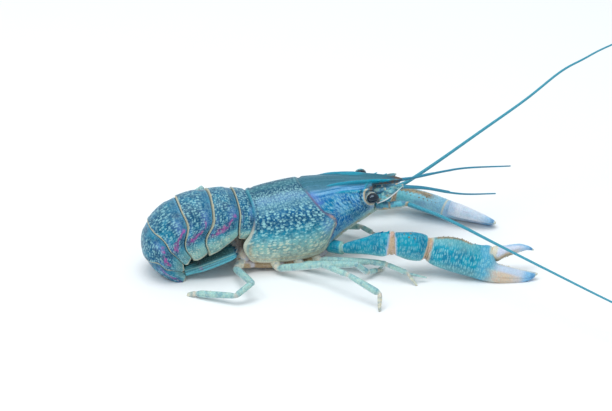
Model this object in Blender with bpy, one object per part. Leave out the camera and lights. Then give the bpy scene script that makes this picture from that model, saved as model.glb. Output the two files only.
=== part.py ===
"""A crayfish at rest with its tail curled under, life size, as one still model of many shell plates.

Lengths in the named values are millimetres. +X is forward, +Y is the animal's left and +Z is up.
The body frame has its origin on the floor under the rear edge of the carapace, and the whole animal is
moved at the end so that the middle of its footprint is the origin.
"""

import math

import bmesh
import bpy
from mathutils import Matrix, Vector

MM = 0.001
GAP = 0.3                     # clearance between shell plates that touch
PLATE_GAP = 0.42              # the same between tail plates, whose bowed edges come a little nearer in places
CUT_GAP = 0.4                 # clearance cut round a neighbour, which thins a little over sharp edges
SHARP_ANGLE = math.radians(50)
FOOTPRINT_MIDDLE = (66.9, -24.8)

# Carapace: the shield over head and thorax
SHIELD_LENGTH = 44.0          # rear edge to the front wall between the eyes
ROSTRUM_TIP = 56.0
GROOVE_AT = 18.6              # where the cervical groove crosses the back
ARCH_ANGLE = math.radians(125)
SHIELD_TURNS = 21
LIP = 2.4                     # how far the side plates hang below the underside
RIM_WIDTH, RIM_LIFT = 1.1, 0.2
HOLLOW_DEPTH, HOLLOW_SIZE = 1.2, 0.9
BACK_LINE = ((-6, 26.4), (0, 27.0), (8, 28.3), (18, 29.3), (30, 28.8), (44, 26.9))
HALF_WIDTH = ((-6, 10.4), (0, 10.4), (6, 11.5), (14, 12.0), (24, 11.5), (34, 9.5), (40, 8.2), (44, 7.0))
LOWER_EDGE = ((-6, 8.6), (-3, 5.2), (1, 3.8), (8, 3.4), (20, 3.8), (25, 5.4), (29, 9.6), (34, 13.0),
              (44, 17.4))
GROOVE_LINE = ((0, 0.0), (25, 1.2), (58, 5.7), (72, 8.8), (90, 10.8), (105, 9.6), (125, 7.0))
REAR_LINE = ((0, 0.0), (50, 0.4), (75, -1.0), (95, -3.4), (110, -3.0), (125, -0.4))

# place along the shield and how far the surface is sunk there
SHIELD_PLACES = ((0, 0.5), (0.9, 0.0), (5, 0), (11, 0), (17.2, 0), (GROOVE_AT, 0.55), (20.0, 0), (25, 0),
                 (31, 0), (36, 0), (40.5, 0), (SHIELD_LENGTH, 0))
# x, half width, top and depth of the beak between the eyes
ROSTRUM_ROWS = ((30, 3.2, 27.5, 2.0), (35, 3.5, 27.7, 2.2), (40, 3.4, 27.6, 2.4), (44, 2.9, 27.2, 2.2),
                (49, 2.3, 26.4, 1.8), (53, 1.5, 25.7, 1.3), (55.2, 0.7, 25.3, 0.8),
                (ROSTRUM_TIP, 0.2, 25.1, 0.3))
ROSTRUM_TEETH = (46.5, 50.0, 53.0)
# x, y, z and half thickness along the two raised ridges on each side of the head
ROSTRAL_KEEL = ((26, 4.6, 27.9, 0.25), (31, 4.2, 28.2, 0.5), (38, 3.6, 27.9, 0.5), (43, 3.0, 27.2, 0.4))
BROW_KEEL = ((28, 6.9, 26.2, 0.25), (33, 6.6, 26.1, 0.5), (39.4, 6.2, 25.4, 0.5), (41.4, 6.3, 25.6, 0.15))
# the thorax floor's section as shares of its half width and depth, and those two at each place but the first
UNDERSIDE_SECTION = ((1, 0), (0.5, 0), (-0.5, 0), (-1, 0), (-1, 0.55), (-0.72, 1), (0, 1.1), (0.72, 1),
                     (1, 0.55))
UNDERSIDE_SIZES = ((4.5, 3.4), (5.1, 3.9), (5.5, 4.3), (5.5, 4.4), (5.5, 4.3), (5.4, 4.3), (5.1, 4.2),
                   (4.9, 3.9), (4.5, 3.6), (4.1, 3.3), (3.5, 2.7))

# Abdomen: one row for each boundary between plates: back x, back z, pleuron tip x, tip z, half width,
# how far down from the back the flat underside lies as a share of the height, and how far the
# boundary swings back at the pleuron and at the flank
TAIL_PLANES = (
    (1.5, 26.2, 0.5, 11.5, 9.2, 0.93, 0.0, 0.0),
    (-4.6, 27.8, -4.7, 13.4, 10.3, 0.85, 0.4, -0.2),
    (-13.4, 28.6, -15.4, 8.5, 11.2, 0.60, 2.2, -0.2),
    (-24.6, 26.9, -20.9, 7.5, 11.2, 0.60, 1.7, -0.9),
    (-34.7, 19.0, -23.5, 5.6, 10.4, 0.66, -0.5, -1.3),
    (-36.4, 7.0, -24.2, 3.2, 10.0, 0.80, -0.7, -1.7),
    (-26.8, -3.6, -22.8, 2.2, 9.2, 1.06, 0.0, 0.0),
)
PLEURON_THICKNESS = 1.1
ARCH_HEIGHTS = (0, 0.12, 0.25, 0.38, 0.5, 0.62, 0.74, 0.85, 0.93, 0.98, 0.996)
WIDEST_AT = 0.42              # share of the height where the abdomen is widest
SHOULDER_AT = 4               # the arch height that lies just above every flat underside
LOW_BOW_AT, HIGH_BOW_AT, HIGH_BOW_REACH = 0.36, 0.74, 0.28
# along a plate: place, growth over the plain arch, and how far the pleuron's lower edge is drawn up
PLATE_RINGS = ((0.0, -0.2, 0.9), (0.25, -0.1, 0.2), (0.32, 0.15, 0.0), (0.65, 0.15, -0.5), (1.0, 0.2, 0.0))

# Tail fan: blades that fold forward under the belly, from a root beside the last plate
FAN_RISE = math.radians(20)
FAN_ROOT = (-23.6, 1.5)
BLADE_THICKNESS = 1.0
# share of the length, share of the full width, thickness against the blade's own
BLADE_SHAPE = ((0.0, 0.0, 2.9), (0.12, 0.15, 2.4), (0.32, 0.85, 1.4), (0.62, 1.0, 1.1), (0.85, 0.82, 0.9),
               (0.95, 0.45, 0.7), (1.0, 0.1, 0.5))
# length, half width, root half width, sideways turn and droop of the middle, inner and outer blades
TELSON_SIZE = (18.6, 4.4, 3.6, 0.0, 0.0)
INNER_SIZE = (18.6, 3.0, 1.2, 0.03, -0.22)
OUTER_SIZE = (18.6, 2.7, 1.7, 0.11, -0.5)
# roots of the inner and outer blades against the fan's root
INNER_ROOT = (0.4, 4.9, 0.5)
OUTER_ROOT = (0.2, 6.9, 1.2)

EYE_CENTRE = (42.8, 8.1, 23.9)
EYE_RADII = (2.35, 2.05, 1.85)
# how far each eye is lifted on its stalk
EYE_LIFTS = {"R": -0.6, "L": 0.5}
SOCKET_RADII = (3.5, 3.7, 3.2)
FRONT_WALL = SHIELD_LENGTH + GAP

# Legs: root, end of coxa, knee, wrist, end of propodus, tip. The tips stand on the floor.
LEG_JOINTS = {
    "R2": ((18.5, -4.0, 4.4), (23.4, -10.6, 2.8), (39.3, -20.3, 5.2), (44.0, -22.9, 5.0), (49.9, -28.4, 3.7),
           (52.4, -31.2, 0)),
    "R3": ((13.0, -4.0, 4.4), (16.8, -11.4, 2.4), (33.0, -23.0, 6.6), (37.2, -22.6, 2.6), (41.4, -19.8, 1.4),
           (44.2, -18.0, 0)),
    "R4": ((7.0, -4.0, 4.4), (8.2, -12.0, 2.4), (21.4, -22.3, 7.6), (27.8, -31.6, 8.0), (36.2, -41.5, 5.0),
           (35.2, -44.6, 0)),
    "R5": ((-0.6, -3.8, 4.4), (-6.4, -10.6, 3.4), (-4.5, -27.4, 7.0), (-10.2, -28.4, 3.4),
           (-22.4, -20.2, 1.3), (-25.0, -18.2, 0)),
    "L2": ((18.0, 4.0, 4.4), (22.6, 9.8, 2.0), (36.6, 10.4, 3.2), (42.6, 5.4, 5.0), (46.2, 3.2, 3.2),
           (48.4, 2.4, 0)),
    "L3": ((13.0, 4.0, 4.4), (15.8, 11.6, 2.6), (24.0, 26.0, 12.0), (27.0, 31.5, 9.0), (30.5, 37.6, 3.8),
           (31.5, 39.8, 0)),
    "L4": ((7.0, 4.0, 4.4), (7.4, 12.2, 2.6), (7.6, 27.0, 12.0), (7.0, 33.0, 9.0), (5.0, 39.6, 3.8),
           (4.0, 41.8, 0)),
    "L5": ((-0.6, 3.8, 4.4), (-6.4, 10.6, 4.6), (-11.0, 25.2, 17.0), (-16.0, 28.6, 11.4), (-21.0, 30.6, 3.6),
           (-22.4, 31.2, 0)),
}
# radius at the start and the end of each segment, the last but one deeper on the clawless legs
LEG_RADII = ((2.0, 1.45), (1.3, 1.15), (1.05, 1.05), (0.88, 0.9), (0.6, 0.42))
BROAD_SEGMENT = (1.0, 1.2)
# the last segment of the two legs whose tips are seen to be blunt
BLUNT_TIPS = {"R4": (0.8, 0.5), "R5": (0.95, 0.75)}
# from the tip of the fixed finger to the tip of the moving one
PINCER_TIPS = {"R2": (4.0, 1.9, 1.6), "R3": (1.4, 2.0, 1.2), "L2": (2.0, -1.2, 1.3), "L3": (1.2, 1.8, 1.4)}
# place along the propodus from its end, and radius, for the first two stations of the moving finger
PINCER_BASE = ((-1.2, 0.5), (0.8, 0.62))

# Claw arms: root, end of the base, end of the merus, end of the carpus, tip of the fixed finger
ARM_JOINTS = {
    "R": ((24.8, -3.8, 5.4), (31.4, -12.8, 7.6), (45.6, -23.0, 13.2), (58.4, -23.2, 9.5), (93.6, -37.0, 1.6)),
    "L": ((24.8, 3.8, 5.4), (31.2, 12.8, 7.6), (47.0, 22.8, 10.9), (60.2, 22.6, 7.5), (92.0, 2.2, 1.5)),
}
CLAW_ROLL = {"R": math.radians(52), "L": math.radians(30)}
# share of the segment's length, half width and half height
ARM_BASE_SHAPE = ((0.0, 2.0, 2.2), (0.5, 2.1, 2.4), (1.0, 2.0, 2.3))
MERUS_SHAPE = ((0.0, 1.7, 1.7), (0.12, 2.0, 2.1), (0.5, 2.8, 3.2), (0.79, 3.3, 4.4), (1.0, 2.8, 4.0))
CARPUS_SHAPE = ((0.0, 2.8, 3.9), (0.22, 3.5, 4.4), (0.6, 4.4, 5.0), (0.86, 4.0, 4.7), (1.0, 3.0, 3.6))
# share of the merus where a spine stands on its upper edge, and height of its foot
MERUS_SPINES = ((0.50, 2.8), (0.68, 3.5))
MERUS_SPINE = (0.07, 1.5, 0.55)     # lean as a share of the merus, height, radius
CARPUS_SPINE_AT = 0.55
CARPUS_SPINE = ((0, 3.4, 1.6), (1.8, 5.6, 2.4), 0.7)     # foot and tip against the carpus's middle, radius
# share of claw length, extent towards the moving finger, extent away from it, half thickness
PALM = ((0.0, 3.6, 3.9, 2.8), (0.06, 4.6, 5.0, 3.1), (0.16, 5.7, 5.6, 3.4), (0.27, 6.0, 5.9, 3.6),
        (0.37, 5.4, 6.0, 3.6), (0.45, 5.6, 6.1, 3.4), (0.54, 6.1, 6.3, 3.1))
FIXED_FINGER = ((0.63, 0.8, 6.2, 2.7), (0.72, 0.6, 5.6, 2.3), (0.83, 0.6, 4.4, 1.8), (0.92, 0.8, 2.9, 1.35),
                (0.975, 0.95, 1.1, 0.8), (1.0, 0.9, -0.3, 0.4))
# share of claw length, inner edge and outer edge above the claw's axis, half thickness
MOVING_FINGER = {
    "R": ((0.56, 1.4, 6.2, 2.4), (0.62, 1.4, 7.0, 2.6), (0.68, 3.4, 7.7, 2.3), (0.74, 4.9, 8.7, 1.9),
          (0.80, 6.4, 9.35, 1.5), (0.86, 7.7, 9.3, 1.1), (0.92, 8.1, 8.6, 0.4)),
    "L": ((0.55, 1.2, 6.2, 2.5), (0.62, 1.3, 6.8, 2.5), (0.70, 1.3, 6.6, 2.3), (0.78, 1.4, 5.9, 1.95),
          (0.86, 1.5, 5.0, 1.55), (0.93, 1.6, 3.8, 1.1), (0.98, 1.6, 2.7, 0.65), (1.0, 1.7, 2.1, 0.3)),
}

# Feelers: points in order, with the radius at the start and at the end
FEELER_PATHS = {
    "R": ((56.0, -7.6, 19.0), (63.7, -17.0, 18.5), (69.1, -28.0, 19.1), (76.2, -43.0, 19.4),
          (87.2, -60.0, 17.9), (103.0, -80.0, 14.4), (113.0, -91.5, 12.6)),
    "L": ((56.3, 7.1, 18.7), (60.9, 8.0, 19.9), (72.0, 10.5, 24.8), (88.5, 14.0, 32.9), (106.3, 17.5, 41.9),
          (120.2, 20.6, 49.9), (129.7, 23.0, 52.9), (141.8, 26.0, 56.1), (171.0, 31.0, 62.0)),
}
FEELER_RADII = (0.74, 0.27)
WHIP_POINTS = 27
BRANCH_RADII = (0.42, 0.24)
BRANCH_POINTS = 11
# x, y, z, half width and half height along the stalks of the feelers and the leaf-shaped scale
ANTENNA_STALK = ((FRONT_WALL, 5.4, 18.8, 1.6, 1.5), (46.5, 6.0, 18.8, 1.8, 1.55), (48.5, 6.3, 18.8, 1.7, 1.5),
                 (49.1, 6.4, 18.8, 1.3, 1.2), (49.8, 6.5, 18.8, 1.4, 1.3), (53.4, 6.9, 19.0, 1.35, 1.25),
                 (54.3, 7.0, 19.0, 1.05, 1.0))
ANTENNULE_STALK = ((FRONT_WALL, 2.1, 22.5, 1.15, 1.1), (48.3, 2.3, 22.7, 1.2, 1.1),
                   (49.1, 2.3, 22.8, 1.0, 1.0), (55.6, 2.5, 23.5, 0.95, 0.9))
SCALE_ROWS = ((FRONT_WALL, 6.8, 21.1, 1.2, 0.40), (47.4, 6.3, 22.5, 1.85, 0.45), (51.3, 5.2, 24.1, 1.5, 0.4),
              (53.6, 4.5, 24.8, 0.85, 0.35), (54.8, 4.1, 25.1, 0.2, 0.2))
SCALE_TILT = 0.30
# the outer and the inner branch of each small feeler
ANTENNULE_PATHS = {
    "R": (((63.7, -3.2, 21.9), (71.2, -4.2, 20.0), (78.2, -5.0, 18.8), (88.3, -6.5, 18.5)),
          ((62.0, -1.9, 22.6), (67.5, -2.2, 21.7), (72.4, -2.9, 20.2))),
    "L": (((61.7, 4.5, 22.7), (66.4, 6.0, 22.6), (71.1, 7.0, 22.3), (76.5, 8.0, 21.9)),
          ((62.2, 3.0, 23.6), (71.9, 4.6, 23.7), (81.6, 6.0, 23.3), (98.4, 7.0, 21.5))),
}
# x, y, z, half width and half height along the third maxilliped
MAXILLIPED_ROWS = ((27.0, 3.0, 4.6, 1.3, 1.1), (32, 3.1, 8.8, 1.6, 1.3), (37.5, 3.1, 12.4, 1.5, 1.2),
                   (42.5, 2.9, 15.0, 1.3, 1.1), (46.0, 2.7, 16.4, 0.7, 0.7))


def smooth(table, at):
    """Value at a place in a table of (place, value, ...) rows, on a smooth curve through the rows."""
    last = len(table) - 1
    if at <= table[0][0]:
        return table[0][1:]
    if at >= table[last][0]:
        return table[last][1:]
    row = next(i for i in range(last) if at <= table[i + 1][0])
    span = table[row + 1][0] - table[row][0]
    part = (at - table[row][0]) / span

    def slope(i, k):
        low, high = max(i - 1, 0), min(i + 1, last)
        return (table[high][k] - table[low][k]) / (table[high][0] - table[low][0]) * span

    out = []
    for k in range(1, len(table[0])):
        a, b = table[row][k], table[row + 1][k]
        ta, tb = slope(row, k), slope(row + 1, k)
        p, q = part, 1 - part
        out.append(q * q * (1 + 2 * p) * a + p * p * (3 - 2 * p) * b + q * q * p * ta - p * p * q * tb)
    return tuple(out)


def value(table, at):
    return smooth(table, at)[0]


def spline(points, count):
    """Points spaced along a smooth curve through the given points."""
    table = [(i, *p) for i, p in enumerate(points)]
    last = len(points) - 1
    return [Vector(smooth(table, last * i / (count - 1))) for i in range(count)]


def material(name, colour, roughness):
    made = bpy.data.materials.new(name)
    made.use_nodes = True
    shader = made.node_tree.nodes["Principled BSDF"]
    shader.inputs["Base Color"].default_value = (*colour, 1)
    shader.inputs["Roughness"].default_value = roughness
    return made


def mesh_object(name, points, faces):
    mesh = bpy.data.meshes.new(name)
    mesh.from_pydata([Vector(p) * MM for p in points], [], faces)
    made = bpy.data.objects.new(name, mesh)
    bpy.context.scene.collection.objects.link(made)
    fix = bmesh.new()
    fix.from_mesh(mesh)
    bmesh.ops.triangulate(fix, faces=fix.faces[:], ngon_method="EAR_CLIP")
    bmesh.ops.recalc_face_normals(fix, faces=fix.faces[:])
    if fix.calc_volume(signed=True) < 0:
        bmesh.ops.reverse_faces(fix, faces=fix.faces[:])
    fix.to_mesh(mesh)
    fix.free()
    return made


def loft(name, rings, cap=None):
    """Closed solid through rings with the same number of points, closed at both ends by the cap's faces."""
    count = len(rings[0])
    points = [p for ring in rings for p in ring]
    faces = []
    for r in range(len(rings) - 1):
        for i in range(count):
            j = (i + 1) % count
            faces.append((r * count + i, r * count + j, (r + 1) * count + j, (r + 1) * count + i))
    last = (len(rings) - 1) * count
    for face in cap or [tuple(range(count))]:
        faces += [face, tuple(last + i for i in face)]
    return mesh_object(name, points, faces)


def stand_on_floor(points):
    """Presses whatever would reach below the floor into a small flat at floor level."""
    return [Vector((p[0], p[1], max(p[2], 0.0))) for p in points]


def sweep(name, stations, up, sides=8, start_dir=None, end_dir=None, power=1.0):
    """Tube through stations of (point, half width, half height), its height along up."""
    spots = [Vector(s[0]) for s in stations]
    rings = []
    for i, (_, half_width, half_height) in enumerate(stations):
        before = (spots[i] - spots[i - 1]).normalized() if i else None
        after = (spots[i + 1] - spots[i]).normalized() if i < len(spots) - 1 else None
        if before is None:
            along = Vector(start_dir).normalized() if start_dir is not None else after
        elif after is None:
            along = Vector(end_dir).normalized() if end_dir is not None else before
        else:
            along = (before + after).normalized()
        across = along.cross(Vector(up))
        side = across.normalized() if across.length > 0.2 else side
        rise = side.cross(along).normalized()
        ring = []
        for k in range(sides):
            turn = 2 * math.pi * (k + 0.5) / sides
            c, s = math.cos(turn), math.sin(turn)
            c = math.copysign(abs(c) ** power, c)
            s = math.copysign(abs(s) ** power, s)
            ring.append(spots[i] + side * half_width * c + rise * half_height * s)
        rings.append(stand_on_floor(ring))
    return loft(name, rings)


def largest_surface(source):
    """Keeps only the largest closed surface of the object's mesh."""
    work = bmesh.new()
    work.from_mesh(source.data)
    unseen, best, best_size = set(work.verts), None, -1
    while unseen:
        group, stack = set(), [unseen.pop()]
        while stack:
            vert = stack.pop()
            group.add(vert)
            for edge in vert.link_edges:
                other = edge.other_vert(vert)
                if other in unseen:
                    unseen.discard(other)
                    stack.append(other)
        if len(group) > best_size:
            best, best_size = group, len(group)
    bmesh.ops.delete(work, geom=[v for v in work.verts if v not in best], context="VERTS")
    work.to_mesh(source.data)
    work.free()


def is_closed(mesh):
    work = bmesh.new()
    work.from_mesh(mesh)
    closed = bool(work.faces) and all(edge.is_manifold for edge in work.edges)
    work.free()
    return closed


def apply_boolean(target, others, operation):
    """Joins or cuts the target with all the other objects at once, then removes them.

    Where the exact solver leaves an opening, the manifold solver does the same step."""
    group = bpy.data.collections.new("pieces")
    bpy.context.scene.collection.children.link(group)
    for other in others:
        bpy.context.scene.collection.objects.unlink(other)
        group.objects.link(other)
    change = target.modifiers.new("join", "BOOLEAN")
    change.operation = operation
    change.operand_type = "COLLECTION"
    change.collection = group
    for solver in ("EXACT", "MANIFOLD"):
        change.solver = solver
        bpy.context.view_layer.update()
        graph = bpy.context.evaluated_depsgraph_get()
        mesh = bpy.data.meshes.new_from_object(target.evaluated_get(graph))
        if is_closed(mesh):
            break
    target.modifiers.remove(change)
    old, target.data = target.data, mesh
    bpy.data.meshes.remove(old)
    for other in others:
        bpy.data.objects.remove(other)
    bpy.data.collections.remove(group)
    largest_surface(target)
    return target


def fuse(target, *others):
    return apply_boolean(target, others, "UNION")


def swollen(source, by=GAP):
    """A copy of the object grown by the clearance, to cut its neighbours with."""
    made = source.copy()
    made.data = source.data.copy()
    bpy.context.scene.collection.objects.link(made)
    work = bmesh.new()
    work.from_mesh(made.data)
    work.normal_update()
    moves = [(v, v.normal * v.calc_shell_factor() * by * MM) for v in work.verts]
    for vert, move in moves:
        if move.length > 2.5 * by * MM:
            move = move.normalized() * 2.5 * by * MM
        vert.co += move
    work.to_mesh(made.data)
    work.free()
    return made


def clear_of(target, *neighbours, by=CUT_GAP):
    """Cuts the target back from its neighbours, so that they meet face to face across the gap."""
    return apply_boolean(target, [swollen(n, by) for n in neighbours], "DIFFERENCE")


def cone(name, foot, tip, radius):
    """A small spine with its foot sunk in what it grows from."""
    foot, tip = Vector(foot), Vector(tip)
    bulge = foot.lerp(tip, 0.45)
    up = (0, 0, 1) if abs((tip - foot).normalized().z) < 0.8 else (1, 0, 0)
    return sweep(name, [(foot, radius, radius), (bulge, radius * 0.75, radius * 0.75), (tip, 0.12, 0.12)],
                 up, sides=5)


def ellipsoid(name, centre, radii, segments=14, rows=9):
    mesh = bpy.data.meshes.new(name)
    work = bmesh.new()
    bmesh.ops.create_uvsphere(work, u_segments=segments, v_segments=rows, radius=1.0)
    bmesh.ops.scale(work, vec=Vector(radii) * MM, verts=work.verts)
    bmesh.ops.translate(work, vec=Vector(centre) * MM, verts=work.verts)
    bmesh.ops.triangulate(work, faces=work.faces[:])
    work.to_mesh(mesh)
    work.free()
    made = bpy.data.objects.new(name, mesh)
    bpy.context.scene.collection.objects.link(made)
    return made


def shield_point(along, turn):
    """Point of the shield's outer surface. along runs from 0 at the rear edge to the front wall,
    following the rear edge and the cervical groove, and turn is 0 on the back."""
    degrees = abs(math.degrees(turn))
    rear_fade = max(0.0, 1 - along / GROOVE_AT)
    groove_fade = min(along / GROOVE_AT, (SHIELD_LENGTH - along) / (SHIELD_LENGTH - GROOVE_AT))
    x = along + value(REAR_LINE, degrees) * rear_fade + value(GROOVE_LINE, degrees) * max(groove_fade, 0.0)
    back, low, half = value(BACK_LINE, x), value(LOWER_EDGE, x), value(HALF_WIDTH, x)
    rise = (back - low) / (1 - math.cos(ARCH_ANGLE))
    sine = math.sin(turn)
    return Vector((x, math.copysign(half * abs(sine) ** 0.86, sine), back - rise + rise * math.cos(turn)))


def shield_ring(along, sink=0.0, turns=SHIELD_TURNS):
    outer = []
    for i in range(turns):
        turn = ARCH_ANGLE * (2 * i / (turns - 1) - 1)
        p = shield_point(along, turn)
        inward = Vector((0, -math.sin(turn), -math.cos(turn)))
        fade = 1 if abs(turn) < ARCH_ANGLE * 0.93 else 0.3
        outer.append(p + inward * sink * fade)
    left, right = outer[-1], outer[0]
    inner = []
    for share in (-1.0, -0.9, -0.45, 0.0, 0.45, 0.9, 1.0):
        edge = left if share < 0 else right
        at_rim = abs(share) == 1
        lift = RIM_LIFT if at_rim else LIP
        y = abs(edge.y) - RIM_WIDTH if at_rim else abs(edge.y) * abs(share)
        inner.append(Vector((edge.x, -math.copysign(y, share) if share else 0.0, edge.z + lift)))
    return outer + inner


def shield_rings():
    """Rings of the shield. The first one is a hollow in its rear, where the first tail plate slides in."""
    rings = [shield_ring(along, sink) for along, sink in SHIELD_PLACES]
    middle = sum(p.z for p in rings[0]) / len(rings[0])
    hollow = []
    for p in rings[0]:
        hollow.append(Vector((HOLLOW_DEPTH, p.y * HOLLOW_SIZE, middle + (p.z - middle) * HOLLOW_SIZE)))
    return [hollow] + rings


def make_carapace():
    """The shield with its rostrum, and a plain copy of the shield alone to cut its neighbours with."""
    shell = loft("carapace", shield_rings())
    plain = swollen(shell, 0.0)
    rings = []
    for x, half, top, deep in ROSTRUM_ROWS:
        rim = min(0.5, half * 0.3)
        outline = ((-half, -0.1), (-half + rim, rim), (0, -rim * 0.7), (half - rim, rim), (half, -0.1),
                   (half * 0.6, -deep), (0, -deep * 1.2), (-half * 0.6, -deep))
        rings.append([Vector((x, y, top + z)) for y, z in outline])
    pieces = [loft("rostrum", rings)]
    for side in (-1, 1):
        for ridge in (ROSTRAL_KEEL, BROW_KEEL):
            stations = [(Vector((x, y * side, z)), half, half * 1.2) for x, y, z, half in ridge]
            pieces.append(sweep("keel", stations, (0, 0, 1), sides=6))
        for x in ROSTRUM_TEETH:
            half, top = smooth(ROSTRUM_ROWS, x)[:2]
            foot = (x - 0.9, (half - 0.4) * side, top)
            pieces.append(cone("tooth", foot, (x + 1.2, (half + 0.6) * side, top + 0.4), 0.4))
    fuse(shell, *pieces)
    sockets = [eye_socket(side) for side in (-1, 1)]
    apply_boolean(shell, sockets, "DIFFERENCE")
    return shell, plain


def eye_socket(side, shrink=0.0):
    x, y, z = EYE_CENTRE
    return ellipsoid("socket", (x + 0.4, (y + 0.4) * side, z), [r - shrink for r in SOCKET_RADII])


def make_underside():
    """The floor of the thorax, which fills the opening of the shield and rises under the head."""
    rings = []
    for (along, sink), (half, deep) in zip(SHIELD_PLACES[1:], UNDERSIDE_SIZES):
        edge = shield_ring(along, sink)[SHIELD_TURNS - 1]
        top = edge.z + LIP - GAP
        rings.append([Vector((edge.x, half * share, top - deep * drop)) for share, drop in UNDERSIDE_SECTION])
    return loft("thorax_underside", rings)


def bump(offset, reach):
    """A rounded hump, 1 in the middle and 0 at the reach."""
    return math.cos(math.pi / 2 * offset / reach) ** 2 if abs(offset) < reach else 0.0


def tail_ring(at, swell=0.0, lift=0.0, shift=0.0):
    """Cross-section of the abdomen: an arch over the back with a thin side flap on each side."""
    table = [(i, *row) for i, row in enumerate(TAIL_PLANES)]
    back_x, back_z, tip_x, tip_z, half, floor, low_bow, high_bow = smooth(table, at)
    rise = Vector((back_x - tip_x, 0, back_z - tip_z))
    plain_height = rise.length
    rise.normalize()
    along = rise.cross(Vector((0, 1, 0)))
    tip = Vector((tip_x, 0, tip_z)) + rise * lift
    height = plain_height + swell - lift
    half += swell

    def outer(share):
        if share > WIDEST_AT:
            return half * math.sqrt(max(0.0, 1 - ((share - WIDEST_AT) / (1 - WIDEST_AT)) ** 2.3))
        return half * (1 - 0.26 * (1 - share / WIDEST_AT) ** 2)

    side = [(outer(share), share) for share in ARCH_HEIGHTS]
    sole = max(1 - floor, -0.3)
    inner = outer(max(sole, 0)) - PLEURON_THICKNESS
    lip = outer(0) - PLEURON_THICKNESS * 0.6
    flat = [(-lip, 0.0), (-inner, sole), (-inner * 0.5, sole), (inner * 0.5, sole), (inner, sole), (lip, 0.0)]
    ring = []
    for y, share in side + [(0.0, 1.0)] + [(-y, share) for y, share in reversed(side)] + flat:
        up = share * height
        level = (up + lift) / plain_height
        bow = low_bow * bump(level - LOW_BOW_AT, LOW_BOW_AT)
        bow += high_bow * bump(level - HIGH_BOW_AT, HIGH_BOW_REACH)
        ring.append(tip + rise * up + along * (shift + bow) + Vector((0, y, 0)))
    return stand_on_floor(ring)


def tail_cap():
    """Faces that close a cross-section of the abdomen, the same on both sides of a boundary."""
    count = len(ARCH_HEIGHTS)
    top, last = count, 2 * count
    lip_r, corner_r, half_r, half_l, corner_l, lip_l = range(last + 1, last + 7)
    faces = [(0, lip_l, corner_l), (last, lip_r, corner_r)]
    for i in range(SHOULDER_AT):
        faces += [(corner_l, i, i + 1), (corner_r, last - i, last - i - 1)]
    base = SHOULDER_AT
    faces += [(base, corner_l, half_l), (last - base, corner_r, half_r), (base, half_l, half_r, last - base)]
    for i in range(base, count - 1):
        faces.append((i, i + 1, last - i - 1, last - i))
    faces.append((count - 1, top, last - count + 1))
    return faces


def make_abdomen(trunk):
    plates = []
    for i in range(6):
        rings = []
        for place, swell, lift in PLATE_RINGS:
            shift = {0.0: PLATE_GAP / 2, 1.0: -PLATE_GAP / 2}.get(place, 0.0)
            rings.append(tail_ring(i + place, swell, lift if i < 5 else 0.0, shift))
        plate = loft(f"abdomen_{i + 1}", rings, tail_cap())
        if i < 2:
            clear_of(plate, *trunk, by=1.5 * CUT_GAP)
        plates.append(plate)
    return plates


def blade(name, root, size, side=1):
    """A flat tail blade with a rounded end, rolled about its length so that it droops to its outer side."""
    length, width, root_width, spread, roll = size
    spread *= side
    forward = Vector((math.cos(FAN_RISE) * math.cos(spread), math.sin(spread),
                      math.sin(FAN_RISE) * math.cos(spread)))
    normal = Vector((-math.sin(FAN_RISE), 0, math.cos(FAN_RISE)))
    normal = (normal - forward * normal.dot(forward)).normalized()
    normal.rotate(Matrix.Rotation(roll * side, 3, forward))
    stations = []
    for share, wide, thick in BLADE_SHAPE:
        half = root_width + (width - root_width) * wide
        stations.append((Vector(root) + forward * (length * share), half, thick * BLADE_THICKNESS / 2))
    return sweep(name, stations, normal, sides=10, start_dir=forward, end_dir=forward, power=0.8)


def make_tail_fan(near_plates):
    root = Vector((FAN_ROOT[0], 0, FAN_ROOT[1]))
    telson = blade("telson", root, TELSON_SIZE)
    parts = [clear_of(telson, *near_plates)]
    for side, tag in ((-1, "R"), (1, "L")):
        flip = Vector((1, side, 1))
        inner = blade(f"uropod_{tag}_inner", root + Vector(INNER_ROOT) * flip, INNER_SIZE, side)
        outer = blade(f"uropod_{tag}_outer", root + Vector(OUTER_ROOT) * flip, OUTER_SIZE, side)
        clear_of(outer, *near_plates, inner)
        clear_of(inner, *near_plates, telson)
        parts += [inner, outer]
    return parts


def make_eyes():
    """Eyes on short stalks, each stalk shaped to the socket behind it."""
    parts = []
    for side, tag in ((-1, "R"), (1, "L")):
        centre = Vector((EYE_CENTRE[0], EYE_CENTRE[1] * side, EYE_CENTRE[2] + EYE_LIFTS[tag]))
        eye = ellipsoid(f"eye_{tag}", centre, EYE_RADII, 14, 10)
        foot = Vector((41.2, 3.6 * side, 23.4))
        stalk = sweep(f"eye_stalk_{tag}", [(foot, 1.4, 1.4), (foot.lerp(centre, 0.5), 1.6, 1.6),
                      (centre - Vector((0.3, 0.9 * side, 0.2)), 2.05, 1.85)], (0, 0, 1), sides=10)
        apply_boolean(stalk, [eye_socket(side, GAP)], "INTERSECT")
        clear_of(stalk, eye)
        parts += [eye, stalk]
    return parts


def half_bend(joints, at):
    """Tangent of half the angle by which the limb bends at a joint."""
    if at in (0, len(joints) - 1):
        return 0.0
    before = Vector(joints[at]) - Vector(joints[at - 1])
    after = Vector(joints[at + 1]) - Vector(joints[at])
    return math.tan(before.angle(after) / 2)


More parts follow.
